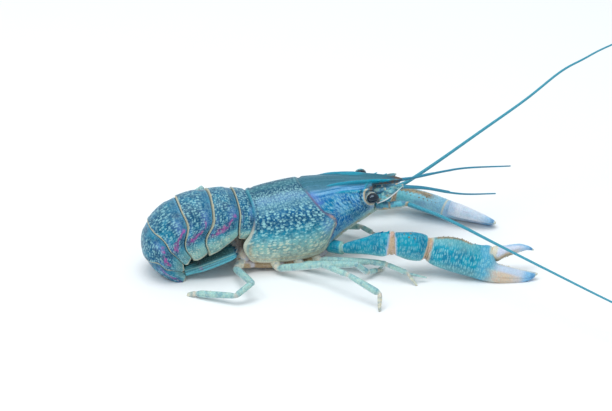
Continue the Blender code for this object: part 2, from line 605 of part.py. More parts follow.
def leg_stations(joints, radii, first, last):
    """Stations along a limb from one joint to another, each segment drawn in at its ends."""
    stations = []
    for i in range(first, last):
        a, b = Vector(joints[i]), Vector(joints[i + 1])
        length = (b - a).length
        start, end = radii[i]
        lead = min(max(0.14 * length, start * half_bend(joints, i) + GAP) / length, 0.45)
        tail = min(max(0.14 * length, end * half_bend(joints, i + 1) + GAP) / length, 0.45)
        waist = 0.8 * (min(start, radii[i - 1][1]) if i > first else start)
        for share, r in ((0.0, waist), (lead, start), (1 - tail, end)):
            stations.append((a.lerp(b, share), r, r))
    stations.append((Vector(joints[last]), radii[last - 1][1] * 0.8, radii[last - 1][1] * 0.8))
    return stations


def cut_plane(joints, at):
    before = (Vector(joints[at]) - Vector(joints[at - 1])).normalized()
    after = (Vector(joints[at + 1]) - Vector(joints[at])).normalized()
    return (before + after).normalized()


def shifted(stations, index, move):
    spot, a, b = stations[index]
    stations[index] = (Vector(spot) + move, a, b)


def make_leg(tag, joints, neighbours):
    radii = list(LEG_RADII)
    if tag not in PINCER_TIPS:
        radii[3] = BROAD_SEGMENT
    radii[4] = BLUNT_TIPS.get(tag, radii[4])
    knee = cut_plane(joints, 2)
    upper = leg_stations(joints, radii, 0, 2)
    shifted(upper, -1, -knee * (GAP / 2))
    thigh = sweep(f"leg_{tag}_upper", upper, (0, 0, 1), sides=8, end_dir=knee)
    clear_of(thigh, *neighbours, by=1.5 * CUT_GAP)
    lower = leg_stations(joints, radii, 2, 5)
    shifted(lower, 0, knee * (GAP / 2))
    shank = sweep(f"leg_{tag}_lower", lower, (0, 0, 1), sides=8, start_dir=knee, end_dir=(0, 0, -1))
    if tag in PINCER_TIPS:
        palm = Vector(joints[4])
        ahead = (palm - Vector(joints[3])).normalized()
        tip = Vector(joints[5]) + Vector(PINCER_TIPS[tag])
        stations = [(palm + ahead * place, r, r) for place, r in PINCER_BASE]
        fuse(shank, sweep("finger", stations + [(tip, 0.3, 0.3)], (0, 0, 1), sides=6))
    return [thigh, shank]


def claw_frame(joints, roll, side):
    wrist, tip = Vector(joints[3]), Vector(joints[4])
    along = (tip - wrist).normalized()
    mesial = Vector((0, -side * math.cos(roll), math.sin(roll)))
    mesial = (mesial - along * mesial.dot(along)).normalized()
    return wrist, along, mesial, (tip - wrist).length


def claw_ring(frame, share, near, far, half, sides=14):
    wrist, along, mesial, length = frame
    flat = along.cross(mesial)
    centre = wrist + along * (length * share) + mesial * ((near - far) / 2)
    ring = []
    for k in range(sides):
        turn = 2 * math.pi * k / sides
        sine = math.sin(turn)
        thick = half * math.copysign(abs(sine) ** 0.85, sine)
        ring.append(centre + mesial * ((near + far) / 2 * math.cos(turn)) + flat * thick)
    return stand_on_floor(ring)


def arm_segment(name, start, end, shape, planes, sides=12):
    """A segment of the claw's arm between two joint planes, half a clearance away from each."""
    stations = [(start.lerp(end, share), wide, high) for share, wide, high in shape]
    if planes[0] is not None:
        shifted(stations, 0, planes[0] * (GAP / 2))
    shifted(stations, -1, -planes[1] * (GAP / 2))
    return sweep(name, stations, (0, 0, 1), sides=sides, start_dir=planes[0], end_dir=planes[1])


def make_arm(tag, joints, neighbours):
    """The three segments of the arm that carries a claw."""
    root, base_end, merus_end, wrist = (Vector(j) for j in joints[:4])
    shoulder, elbow, wrist_plane = (cut_plane(joints, i) for i in (1, 2, 3))
    base = arm_segment(f"arm_{tag}_base", root, base_end, ARM_BASE_SHAPE, (None, shoulder), sides=10)
    clear_of(base, *neighbours)

    merus = arm_segment(f"arm_{tag}_merus", base_end, merus_end, MERUS_SHAPE, (shoulder, elbow))
    lean, tall, radius = MERUS_SPINE
    spines = []
    for share, height in MERUS_SPINES:
        foot = base_end.lerp(merus_end, share) + Vector((0, 0, height))
        tip = foot + (merus_end - base_end) * lean + Vector((0, 0, tall))
        spines.append(cone("spine", foot, tip, radius))
    fuse(merus, *spines)

    carpus = arm_segment(f"arm_{tag}_carpus", merus_end, wrist, CARPUS_SHAPE, (elbow, wrist_plane))
    middle = merus_end.lerp(wrist, CARPUS_SPINE_AT)
    inward = Vector((1, 1 if tag == "R" else -1, 1))
    foot, tip, radius = CARPUS_SPINE
    fuse(carpus, cone("spine", middle + Vector(foot) * inward, middle + Vector(tip) * inward, radius))
    return [base, merus, carpus]


def make_claw(tag, joints):
    """The palm with its fixed finger, and the moving finger."""
    frame = claw_frame(joints, CLAW_ROLL[tag], -1 if tag == "R" else 1)
    wrist, wrist_plane = frame[0], cut_plane(joints, 3)
    rings = [claw_ring(frame, *row) for row in PALM + FIXED_FINGER]
    rings[0] = [p + wrist_plane * (GAP / 2 + (wrist - p).dot(wrist_plane)) for p in rings[0]]
    palm = loft(f"claw_{tag}_palm", rings)
    rings = []
    for share, inner_edge, outer_edge, half in MOVING_FINGER[tag]:
        rings.append(claw_ring(frame, share, outer_edge, -inner_edge, half, sides=10))
    finger = loft(f"claw_{tag}_finger", rings)
    clear_of(finger, palm)
    return [palm, finger]


def mirrored(rows, side):
    """Sweep stations from rows of (x, y, z, half width, half height), for one side of the body."""
    return [(Vector((x, y * side, z)), wide, high) for x, y, z, wide, high in rows]


def make_antennule(tag, side):
    """Two thin flagella on a short stalk under the rostrum."""
    stations = mirrored(ANTENNULE_STALK, side)
    stalk = sweep(f"antennule_{tag}", stations, (0, 0, 1), sides=8, start_dir=(1, 0, 0))
    x, y, z = ANTENNULE_STALK[-1][:3]
    branches = []
    for apart, path in zip((0.42, -0.42), ANTENNULE_PATHS[tag]):
        start = Vector((x - 1.0, (y + apart) * side, z))
        spots = spline([start, *[Vector(p) for p in path]], BRANCH_POINTS)
        stations = []
        for k, spot in enumerate(spots):
            r = BRANCH_RADII[0] + (BRANCH_RADII[1] - BRANCH_RADII[0]) * k / (BRANCH_POINTS - 1)
            stations.append((spot, r, r))
        branches.append(sweep("branch", stations, (0, 0, 1), sides=5))
    return fuse(stalk, *branches)


def make_antenna(tag, side):
    """Stalk, leaf-shaped scale and long whip in two lengths."""
    path = [Vector(p) for p in FEELER_PATHS[tag]]
    lead = (path[1] - path[0]).normalized()
    stations = mirrored(ANTENNA_STALK, side) + [(path[0] - lead * GAP / 2, 0.85, 0.85)]
    stalk = sweep(f"antenna_{tag}_stalk", stations, (0, 0, 1), sides=9, start_dir=(1, 0, 0), end_dir=lead)
    scale = sweep(f"antenna_{tag}_scale", mirrored(SCALE_ROWS, side), (0, SCALE_TILT * side, 1), sides=8,
                  start_dir=(1, 0, 0))
    spots = spline(path, WHIP_POINTS)
    last, middle = WHIP_POINTS - 1, WHIP_POINTS // 2
    thick, thin = FEELER_RADII
    radii = [thick + (thin - thick) * (k / last) ** 0.8 for k in range(last + 1)]
    joint = (spots[middle + 1] - spots[middle - 1]).normalized()
    first = [(p, r, r) for p, r in zip(spots[:middle + 1], radii)]
    second = [(p, r, r) for p, r in zip(spots[middle:], radii[middle:])]
    shifted(first, 0, lead * GAP / 2)
    shifted(first, -1, -joint * GAP / 2)
    shifted(second, 0, joint * GAP / 2)
    near = sweep(f"antenna_{tag}_whip_near", first, (0, 0, 1), sides=6, start_dir=lead, end_dir=joint)
    far = sweep(f"antenna_{tag}_whip_far", second, (0, 0, 1), sides=6, start_dir=joint)
    return [stalk, scale, near, far]


def make_maxilliped(tag, side, *neighbours):
    made = sweep(f"maxilliped_{tag}", mirrored(MAXILLIPED_ROWS, side), (0, 0, 1), sides=8)
    return clear_of(made, *neighbours)


def paint(parts, finish):
    """Gives the parts their material, shaded smooth between their sharp edges."""
    for part in parts:
        part.data.materials.clear()
        part.data.materials.append(finish)
        part.data.shade_smooth()
        part.data.set_sharp_from_angle(angle=SHARP_ANGLE)


def main():
    for old in list(bpy.data.objects):
        bpy.data.objects.remove(old)
    blue = material("blue_shell", (0.05, 0.24, 0.40), 0.32)
    plate_blue = material("tail_shell", (0.06, 0.22, 0.38), 0.32)
    turquoise = material("claw_shell", (0.03, 0.32, 0.45), 0.35)
    pale = material("leg_shell", (0.33, 0.58, 0.62), 0.4)
    cream = material("soft_underside", (0.72, 0.66, 0.54), 0.5)
    black = material("eye", (0.01, 0.01, 0.015), 0.08)

    carapace, plain_shield = make_carapace()
    underside = make_underside()
    trunk = (plain_shield, underside)
    plates = make_abdomen(trunk)
    fan = make_tail_fan(plates[-2:])
    eyes = make_eyes()
    paint([carapace], blue)
    paint([underside], cream)
    paint(plates + fan, plate_blue)
    paint(eyes[0::2], black)
    paint(eyes[1::2], pale)
    for tag, side in (("R", -1), ("L", 1)):
        arm = make_arm(tag, ARM_JOINTS[tag], trunk)
        paint(arm + make_claw(tag, ARM_JOINTS[tag]), turquoise)
        paint([make_antennule(tag, side)], pale)
        paint(make_antenna(tag, side), turquoise)
        paint([make_maxilliped(tag, side, underside, arm[0])], pale)
    for tag, joints in LEG_JOINTS.items():
        paint(make_leg(tag, joints, trunk), pale)
    bpy.data.objects.remove(plain_shield)

    group = bpy.data.collections.new("crayfish")
    bpy.context.scene.collection.children.link(group)
    move = Matrix.Translation(Vector((-FOOTPRINT_MIDDLE[0], -FOOTPRINT_MIDDLE[1], 0)) * MM)
    for part in list(bpy.context.scene.collection.objects):
        part.data.transform(move)
        bpy.context.scene.collection.objects.unlink(part)
        group.objects.link(part)


main()
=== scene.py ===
"""A blue crayfish at rest with its tail curled under, on a plain pale floor.

Lengths in the named values are millimetres in the body frame: the origin lies on the floor under the rear
edge of the carapace, +X is forward, +Y is the animal's left and +Z is up. The tags R and L are its sides.
"""

import math

import bmesh
import bpy
import numpy as np
from mathutils import Matrix, Vector
from mathutils.kdtree import KDTree


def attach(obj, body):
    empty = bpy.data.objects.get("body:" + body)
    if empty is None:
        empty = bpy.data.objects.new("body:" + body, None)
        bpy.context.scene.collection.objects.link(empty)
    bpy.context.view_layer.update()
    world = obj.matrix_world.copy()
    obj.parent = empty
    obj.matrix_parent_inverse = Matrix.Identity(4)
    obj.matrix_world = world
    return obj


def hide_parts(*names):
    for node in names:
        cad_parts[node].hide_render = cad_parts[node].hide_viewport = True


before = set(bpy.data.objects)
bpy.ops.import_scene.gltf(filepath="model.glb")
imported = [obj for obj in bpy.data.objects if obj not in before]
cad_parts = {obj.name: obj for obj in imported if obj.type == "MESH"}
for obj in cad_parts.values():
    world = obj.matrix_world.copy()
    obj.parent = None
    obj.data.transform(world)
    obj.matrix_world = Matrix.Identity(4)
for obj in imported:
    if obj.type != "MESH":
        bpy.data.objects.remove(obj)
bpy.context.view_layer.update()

MM = 0.001
FOOTPRINT_MIDDLE = np.array((66.9, -24.8, 0.0))
GAP = 0.3
SIDES = (("R", -1), ("L", 1))
HAIR_RADIUS, FRINGE_RADIUS, HAIR_HEIGHT = 0.035, 0.05, 0.05

# Carapace
SHIELD_LENGTH = 44.0
ROSTRUM_TIP = 56.0
GROOVE_AT = 18.6
ARCH_ANGLE, ARCH_POWER = 125.0, 0.86
LIP = 2.4
RIM_WIDTH, RIM_LIFT = 1.1, 0.2
BACK_LINE = ((-6, 26.4), (0, 27.0), (8, 28.3), (18, 29.3), (30, 28.8), (44, 26.9))
HALF_WIDTH = ((-6, 10.4), (0, 10.4), (6, 11.5), (14, 12.0), (24, 11.5), (34, 9.5), (40, 8.2), (44, 7.0))
LOWER_EDGE = ((-6, 8.6), (-3, 5.2), (1, 3.8), (8, 3.4), (20, 3.8), (25, 5.4), (29, 9.6), (34, 13.0),
              (44, 17.4))
GROOVE_LINE = ((0, 0.0), (25, 1.2), (58, 5.7), (72, 8.8), (90, 10.8), (105, 9.6), (125, 7.0))
REAR_LINE = ((0, 0.0), (50, 0.4), (75, -1.0), (95, -3.4), (110, -3.0), (125, -0.4))
ROSTRUM_ROWS = ((30, 3.2, 27.5, 2.0), (35, 3.5, 27.7, 2.2), (40, 3.4, 27.6, 2.4), (44, 2.9, 27.2, 2.2),
                (49, 2.3, 26.4, 1.8), (53, 1.5, 25.7, 1.3), (55.2, 0.7, 25.3, 0.8),
                (ROSTRUM_TIP, 0.2, 25.1, 0.3))
ROSTRUM_SECTION = ((-1, 0, -0.1, 0), (-1, 1, 0, 1), (-0.45, 0, 0, -0.2), (0, 0, 0, -0.7), (0.45, 0, 0, -0.2),
                   (1, -1, 0, 1), (1, 0, -0.1, 0), (0.6, 0, -1, 0), (0, 0, -1.2, 0), (-0.6, 0, -1, 0))
ROSTRUM_TEETH = (46.5, 50.0, 53.0)
ROSTRAL_KEEL = ((26, 4.6, 27.9, 0.25), (31, 4.2, 28.2, 0.5), (38, 3.6, 27.9, 0.5), (43, 3.0, 27.2, 0.4))
BROW_KEEL = ((28, 6.9, 26.2, 0.25), (33, 6.6, 26.1, 0.5), (39.4, 6.2, 25.4, 0.5), (41.4, 6.3, 25.6, 0.15))
UNDERSIDE_SECTION = ((1, 0), (0.5, 0), (-0.5, 0), (-1, 0), (-1, 0.55), (-0.72, 1), (0, 1.1), (0.72, 1),
                     (1, 0.55))
UNDERSIDE_PLACES = (0.9, 5, 11, 17.2, GROOVE_AT, 20.0, 25, 31, 36, 40.5, SHIELD_LENGTH)
UNDERSIDE_SIZES = ((4.5, 3.4), (5.1, 3.9), (5.5, 4.3), (5.5, 4.4), (5.5, 4.3), (5.4, 4.3), (5.1, 4.2),
                   (4.9, 3.9), (4.5, 3.6), (4.1, 3.3), (3.5, 2.7))
# Soft skirt under the shield's edge: its span and first rows, its places in and down, its half sizes; and the
# swelling at the root of the last leg
SKIRT_SPAN = (-0.6, 27.0)
SKIRT_START = ((-5.0, 7.0, 5.2, 0.9, 1.0), (-2.8, 8.2, 3.4, 1.3, 1.3))
SKIRT_IN, SKIRT_DROP, SKIRT_SIZE = 1.4, 1.1, (1.3, 1.35)
LAST_ROOT, LAST_ROOT_SIZE = (-2.6, 5.4, 5.2), (2.6, 3.0, 3.0)

# Abdomen
TAIL_PLANES = (
    (0, 1.5, 26.2, 0.5, 11.5, 9.2, 0.93, 0.0, 0.0),
    (1, -4.6, 27.8, -4.7, 13.4, 10.3, 0.85, 0.4, -0.2),
    (2, -13.4, 28.6, -15.4, 8.5, 11.2, 0.60, 2.2, -0.2),
    (3, -24.6, 26.9, -20.9, 7.5, 11.2, 0.60, 1.7, -0.9),
    (4, -34.7, 19.0, -23.5, 5.6, 10.4, 0.66, -0.5, -1.3),
    (5, -36.4, 7.0, -24.2, 3.2, 10.0, 0.80, -0.7, -1.7),
    (6, -26.8, -3.6, -22.8, 2.2, 9.2, 1.06, 0.0, 0.0),
)
PLEURON_THICKNESS = 1.1
WIDEST_AT = 0.42
LOW_BOW_AT, HIGH_BOW_AT, HIGH_BOW_REACH = 0.36, 0.74, 0.28
FLAP_ROWS, FLAP_STEPS, FLAT_STEPS = 34, 12, 23
PLATE_PROFILE = ((0.0, -0.62, 0.9), (0.03, -0.32, 0.8), (0.2, -0.14, 0.25), (0.27, -0.02, 0.1), (0.33, 0.17, 0.0),
                 (0.5, 0.2, -0.3), (0.65, 0.17, -0.5), (0.90, 0.09, -0.25), (0.945, 0.2, -0.1), (0.98, 0.2, 0.0),
                 (0.995, 0.08, 0.1), (1.0, -0.15, 0.2))

# Tail fan
FAN_RISE = math.radians(20)
FAN_ROOT = np.array((-23.6, 0.0, 1.5))
BLADE_THICKNESS = 1.0
BLADE_SHAPE = ((0.0, 0.0, 2.9), (0.12, 0.15, 2.4), (0.32, 0.85, 1.4), (0.62, 1.0, 1.1), (0.85, 0.82, 0.9),
               (0.95, 0.45, 0.7), (1.0, 0.1, 0.5))
TELSON_SIZE = (18.6, 4.4, 3.6, 0.0, 0.0)
INNER_SIZE = (18.6, 3.0, 1.2, 0.03, -0.22)
OUTER_SIZE = (18.6, 2.7, 1.7, 0.11, -0.5)
INNER_ROOT = (0.4, 4.9, 0.5)
OUTER_ROOT = (0.2, 6.9, 1.2)

# Eyes
EYE_CENTRE = (42.8, 8.1, 23.9)
EYE_RADII = (2.18, 1.95, 1.74)
EYE_LIFTS = {"R": -0.6, "L": 0.5}
HOOD_SHIFTS = {"R": (-0.45, -1.2, -0.25), "L": (0.15, 0.55, 0.12)}
HOOD_SIZE = 0.97
SOCKET_RADII = (3.15, 3.35, 2.85)
FRONT_WALL = SHIELD_LENGTH + GAP

# Walking legs, each from its root to its tip
LEG_JOINTS = {
    "R2": ((18.5, -4.0, 4.4), (23.4, -10.6, 2.8), (39.3, -20.3, 5.2), (44.0, -22.9, 5.0), (49.9, -28.4, 3.7),
           (52.4, -31.2, 0)),
    "R3": ((13.0, -4.0, 4.4), (16.8, -11.4, 2.4), (33.0, -23.0, 6.6), (37.2, -22.6, 2.6), (41.4, -19.8, 1.4),
           (44.2, -18.0, 0)),
    "R4": ((7.0, -4.0, 4.4), (8.2, -12.0, 2.4), (21.4, -22.3, 7.6), (27.8, -31.6, 8.0), (36.2, -41.5, 5.0),
           (35.2, -44.6, 0)),
    "R5": ((-0.6, -3.8, 4.4), (-6.4, -10.6, 3.4), (-4.5, -27.4, 7.0), (-10.2, -28.4, 3.4),
           (-22.4, -20.2, 1.3), (-25.0, -18.2, 0)),
    "L2": ((18.0, 4.0, 4.4), (22.6, 9.8, 2.0), (36.6, 10.4, 3.2), (42.6, 5.4, 5.0), (46.2, 3.2, 3.2),
           (48.4, 2.4, 0)),
    "L3": ((13.0, 4.0, 4.4), (15.8, 11.6, 2.6), (24.0, 26.0, 12.0), (27.0, 31.5, 9.0), (30.5, 37.6, 3.8),
           (31.5, 39.8, 0)),
    "L4": ((7.0, 4.0, 4.4), (7.4, 12.2, 2.6), (7.6, 27.0, 12.0), (7.0, 33.0, 9.0), (5.0, 39.6, 3.8),
           (4.0, 41.8, 0)),
    "L5": ((-0.6, 3.8, 4.4), (-6.4, 10.6, 4.6), (-11.0, 25.2, 17.0), (-16.0, 28.6, 11.4), (-21.0, 30.6, 3.6),
           (-22.4, 31.2, 0)),
}
LEG_RADII = ((2.0, 1.45), (1.3, 1.15), (1.05, 1.05), (0.88, 0.9), (0.62, 0.42))
BROAD_SEGMENT = (1.0, 1.2)
BLUNT_TIPS = {"R4": (0.8, 0.5), "R5": (0.95, 0.75)}
PINCER_TIPS = {"R2": (4.0, 1.9, 1.6), "R3": (1.4, 2.0, 1.2), "L2": (2.0, -1.2, 1.3), "L3": (1.2, 1.8, 1.4)}

# Claws and their arms, from the shoulder to the claw's tip
ARM_JOINTS = {
    "R": ((24.8, -3.8, 5.4), (31.4, -12.8, 7.6), (45.6, -23.0, 13.2), (58.4, -23.2, 9.5), (93.6, -37.0, 1.6)),
    "L": ((24.8, 3.8, 5.4), (31.2, 12.8, 7.6), (47.0, 22.8, 10.9), (60.2, 22.6, 7.5), (92.0, 2.2, 1.5)),
}
CLAW_ROLL = {"R": math.radians(52), "L": math.radians(30)}
CLAW_SEED = {"R": 5, "L": 9}
CREST_REACH = {"R": (2.5, 2.3), "L": (2.9, 1.5)}
CREST_LEAN = {"R": 0.0, "L": -0.45}
ARM_BASE_SHAPE = ((0.0, 2.0, 2.2), (0.5, 2.1, 2.4), (1.0, 2.0, 2.3))
MERUS_SHAPE = ((0.0, 1.7, 1.7), (0.12, 2.0, 2.1), (0.5, 2.8, 3.2), (0.79, 3.3, 4.4), (1.0, 2.8, 4.0))
CARPUS_SHAPE = ((0.0, 2.8, 3.9), (0.22, 3.5, 4.4), (0.6, 4.4, 5.0), (0.86, 4.0, 4.7), (1.0, 3.0, 3.6))
ARM_PIECES = ("root", "long", "wrist")
MERUS_SPINES = ((0.50, 2.8, 0.13, 1.5, 0.6, "teal"), (0.68, 3.5, 0.13, 1.5, 0.6, "teal"),
                (0.87, 3.2, 0.07, 1.7, 0.9, "turquoise"))
CARPUS_SPINE = ((0, 3.4, 1.6), (1.8, 5.6, 2.4), 0.7)
CARPUS_KNOBS = ((0.3, 100), (0.42, 118), (0.5, 96), (0.6, 122), (0.66, 102), (0.75, 112), (0.8, 92))
MEMBRANE_SIZES = ((1.4, 1.5), (2.88, 4.12), (3.05, 3.7))
HINGE_LINES = {"R": (0.555, 0.035, 2.2, 3.6, 0.0), "L": (0.503, 0.016, 1.0, 2.0, 0.004)}
PALM = ((0.0, 3.6, 3.9, 2.8), (0.06, 4.6, 5.0, 3.1), (0.16, 5.7, 5.6, 3.4), (0.27, 6.0, 5.9, 3.6),
        (0.37, 5.4, 6.0, 3.6), (0.45, 5.6, 6.1, 3.4), (0.54, 6.1, 6.3, 3.1))
FIXED_FINGER = ((0.63, 0.8, 6.2, 2.7), (0.72, 0.6, 5.6, 2.3), (0.83, 0.6, 4.4, 1.8), (0.92, 0.8, 2.9, 1.35),
                (0.975, 0.95, 1.1, 0.8), (1.0, 0.9, -0.3, 0.4))
MOVING_FINGER = {
    "R": ((0.56, 1.4, 6.2, 2.4), (0.62, 1.4, 7.0, 2.6), (0.68, 3.4, 7.7, 2.3), (0.74, 4.9, 8.7, 1.9),
          (0.80, 6.4, 9.35, 1.5), (0.86, 7.7, 9.3, 1.1), (0.92, 8.1, 8.6, 0.4)),
    "L": ((0.55, 1.2, 6.2, 2.5), (0.62, 1.3, 6.8, 2.5), (0.70, 1.3, 6.6, 2.3), (0.78, 1.4, 5.9, 1.95),
          (0.86, 1.5, 5.0, 1.55), (0.93, 1.6, 3.8, 1.1), (0.98, 1.6, 2.7, 0.65), (1.0, 1.7, 2.1, 0.3)),
}

# Feelers and jaw legs
FEELER_PATHS = {
    "R": ((56.0, -7.6, 19.0), (63.7, -17.0, 18.5), (69.1, -28.0, 19.1), (76.2, -43.0, 19.4),
          (87.2, -60.0, 17.9), (103.0, -80.0, 14.4), (113.0, -91.5, 12.6)),
    "L": ((56.3, 7.1, 18.7), (60.9, 8.0, 19.9), (72.0, 10.5, 24.8), (88.5, 14.0, 32.9), (106.3, 17.5, 41.9),
          (120.2, 20.6, 49.9), (129.7, 23.0, 52.9), (141.8, 26.0, 56.1), (171.0, 31.0, 62.0)),
}
FEELER_RADII = (0.74, 0.27)
BRANCH_RADII = (0.52, 0.24)
ANTENNA_STALK = ((FRONT_WALL, 5.4, 18.8, 1.6, 1.5), (46.5, 6.0, 18.8, 1.8, 1.55), (48.5, 6.3, 18.8, 1.7, 1.5),
                 (49.1, 6.4, 18.8, 1.3, 1.2), (49.8, 6.5, 18.8, 1.4, 1.3), (53.4, 6.9, 19.0, 1.35, 1.25),
                 (54.3, 7.0, 19.0, 1.05, 1.0))
ANTENNULE_STALK = ((FRONT_WALL, 2.1, 22.5, 1.15, 1.1), (48.3, 2.3, 22.7, 1.2, 1.1), (49.1, 2.3, 22.8, 1.0, 1.0),
                   (55.6, 2.5, 23.5, 0.95, 0.9))
SCALE_ROWS = ((FRONT_WALL, 6.8, 21.1, 1.2, 0.40), (47.4, 6.3, 22.5, 1.85, 0.45), (51.3, 5.2, 24.1, 1.5, 0.4),
              (53.6, 4.5, 24.8, 0.85, 0.35), (54.8, 4.1, 25.1, 0.2, 0.2))
SCALE_TILT = 0.30
ANTENNULE_PATHS = {
    "R": (((63.7, -3.2, 21.9), (71.2, -4.2, 20.0), (78.2, -5.0, 18.8), (88.3, -6.5, 18.5)),
          ((62.0, -1.9, 22.1), (67.5, -2.2, 20.7), (72.4, -2.9, 19.5))),
    "L": (((61.7, 4.5, 22.7), (66.4, 6.0, 22.6), (71.1, 7.0, 22.3), (76.5, 8.0, 21.9)),
          ((62.2, 3.0, 23.6), (71.9, 4.6, 23.7), (81.6, 6.0, 23.3), (98.4, 7.0, 21.5))),
}
MAXILLIPED_ROWS = ((27.0, 3.0, 4.6, 1.3, 1.1), (32, 3.1, 8.8, 1.6, 1.3), (37.5, 3.1, 12.4, 1.5, 1.2),
                   (42.5, 2.9, 15.0, 1.3, 1.1), (46.0, 2.7, 16.4, 0.7, 0.7))
MAXILLIPED_JOINTS = (0.34, 0.62, 0.84)

# Stage, in metres in the shared frame: softboxes by name, place, aim, width and power; and the camera
FLOOR_HALF, FLOOR_LEVEL = 4.0, -0.00004
SOFTBOXES = (("softbox_above", (-0.12, -0.02, 0.9), (0, 0, 0), 0.66, 4.1),
             ("window_left", (-0.62, -0.16, 0.85), (0, 0, 0.02), 0.32, 1.6))
CAMERA_SPOT = (-0.197158, -0.582032, 0.351588)
CAMERA_AZIMUTH, CAMERA_ELEVATION = math.radians(-14), math.radians(28)

# Named tones, in display values from 0 to 255
TONES = {
    "ink": (0, 66, 102), "teal": (0, 100, 142), "blue": (0, 104, 170), "turquoise": (10, 150, 178),
    "aqua": (96, 186, 202), "lavender": (104, 138, 206), "haze": (76, 132, 162), "slate": (36, 92, 118),
    "sage": (150, 194, 182), "cream": (214, 210, 188), "beige": (188, 166, 130), "peach": (212, 190, 164),
    "olive": (132, 118, 90), "magenta": (196, 52, 160), "plum": (84, 44, 116), "frost": (206, 214, 234),
    "pale_blue": (110, 178, 222), "mauve": (120, 96, 124), "dot": (160, 218, 222), "ridge": (54, 112, 130),
    "fan": (84, 150, 166), "pearl": (224, 230, 206), "sky": (110, 178, 218), "mist": (158, 190, 222),
    "rose": (206, 178, 188), "leg": (160, 200, 194), "white": (236, 240, 244), "dark": (14, 34, 40),
    "whip": (36, 132, 160), "band": (176, 182, 160), "brown": (112, 86, 62), "moss": (46, 74, 72),
}


# Numbers, curves and tones

def unit(v):
    v = np.asarray(v, float)
    return v / np.maximum(np.linalg.norm(v, axis=-1, keepdims=True), 1e-9)


def ease(x, low, high):
    """0 below low, 1 above high and a smooth step between them."""
    t = np.clip((np.asarray(x, float) - low) / (high - low), 0, 1)
    return t * t * (3 - 2 * t)


def hump(x, middle, reach):
    """A smooth hump, 1 in the middle and 0 at the reach on either side."""
    t = np.clip(np.abs(np.asarray(x, float) - middle) / reach, 0, 1)
    return np.cos(t * np.pi / 2) ** 2


def noise(points, size, seed=0):
    """Smooth random values from 0 to 1 over space, with features of the given size."""
    p = np.asarray(points, float) / size + seed * 17.31
    cell = np.floor(p)
    f = p - cell
    f = f * f * (3 - 2 * f)
    total = 0.0
    for corner in range(8):
        step = np.array((corner & 1, corner >> 1 & 1, corner >> 2 & 1))
        value = np.abs(np.sin((cell + step) @ np.array((127.1, 311.7, 74.7))) * 43758.5453) % 1.0
        total = total + value * np.prod(np.where(step, f, 1 - f), axis=-1)
    return total


def patches(points, size, seed, low, high):
    """Irregular patches, from 0 to 1 where the noise rises from low to high."""
    return ease(noise(points, size, seed), low, high)


def tone(name):
    """A named tone in the renderer's linear values."""
    c = np.array(TONES[name]) / 255
    return np.where(c <= 0.04045, c / 12.92, ((c + 0.055) / 1.055) ** 2.4)


def layers(base, *coats):
    """A named tone, or the tones of many points, under coats of (tone, amount from 0 to 1)."""
    tint = tone(base) if isinstance(base, str) else base
    for name, amount in coats:
        amount = np.clip(np.asarray(amount, float), 0, 1)[..., None]
        tint = tint * (1 - amount) + tone(name) * amount
    return tint


def look_of(base, coats=None, **marks):
    """A look of a grid: a base tone under coats, which a function gives for the points and their shares along
    the grid and round it. The marks say how strongly the dots and the net of strokes show."""
    def look(points, share, turn):
        return {"tint": layers(base, *(coats(points, share, turn) if coats else ())), **marks}
    return look


def top_of(turn):
    """1 on the upper side of a section and -1 on the lower side."""
    return np.sin(2 * np.pi * turn)


def curve(table, at, steady=False):
    """Rows of (place, value, ...) as a smooth curve, read at one place or many. A steady one never swings
    past its rows."""
    rows = np.asarray(table, float)
    at = np.clip(np.asarray(at, float), rows[0, 0], rows[-1, 0])
    last = len(rows) - 1
    index = np.arange(last + 1)
    i = np.clip(np.searchsorted(rows[:, 0], at) - 1, 0, last - 1)
    low, high = np.maximum(index - 1, 0), np.minimum(index + 1, last)
    slopes = (rows[high, 1:] - rows[low, 1:]) / (rows[high, :1] - rows[low, :1])
    if steady:
        steps = np.diff(rows[:, 1:], axis=0) / np.diff(rows[:, :1], axis=0)
        before, after = steps[low], steps[np.minimum(index, last - 1)]
        limit = 3 * np.minimum(np.abs(before), np.abs(after))
        slopes = np.where(before * after <= 0, 0, np.clip(slopes, -limit, limit))
    span = (rows[i + 1, 0] - rows[i, 0])[..., None]
    p = (at - rows[i, 0])[..., None] / span
    q = 1 - p
    return (q * q * (1 + 2 * p) * rows[i, 1:] + p * p * (3 - 2 * p) * rows[i + 1, 1:]
            + q * q * p * slopes[i] * span - p * p * q * slopes[i + 1] * span)


def line(table, at):
    return curve(table, at)[..., 0]


def spline(points, count):
    """Points along a smooth curve through the given ones, evenly spaced by their number."""
    rows = [(i, *p) for i, p in enumerate(points)]
    return curve(rows, np.linspace(0, len(points) - 1, count))


def closed_spline(points, count):
    """A smooth closed curve through the given points."""
    wrapped = [*points[-2:], *points, *points[:3]]
    rows = [(i, *p) for i, p in enumerate(wrapped)]
    return curve(rows, 2 + np.arange(count) * len(points) / count)


def run_along(points):
    """Distance from the start along a line of points, or along several lines at once."""
    steps = np.linalg.norm(np.diff(points, axis=0), axis=-1)
    return np.concatenate([np.zeros_like(steps[:1]), np.cumsum(steps, axis=0)])


def mirror(rows, side):
    rows = np.array(rows, float)
    rows[:, 1] *= side
    return rows


# Grids of points

def on_floor(grid):
    grid = np.array(grid, float)
    grid[..., 2] = np.maximum(grid[..., 2], 0.0)
    return grid


def section(sides, power=1.0):
    """Cosines and sines round a section, squarer with a lower power."""
    turn = 2 * np.pi * (np.arange(sides) + 0.5) / sides
    return [np.sign(v) * np.abs(v) ** power for v in (np.cos(turn), np.sin(turn))]


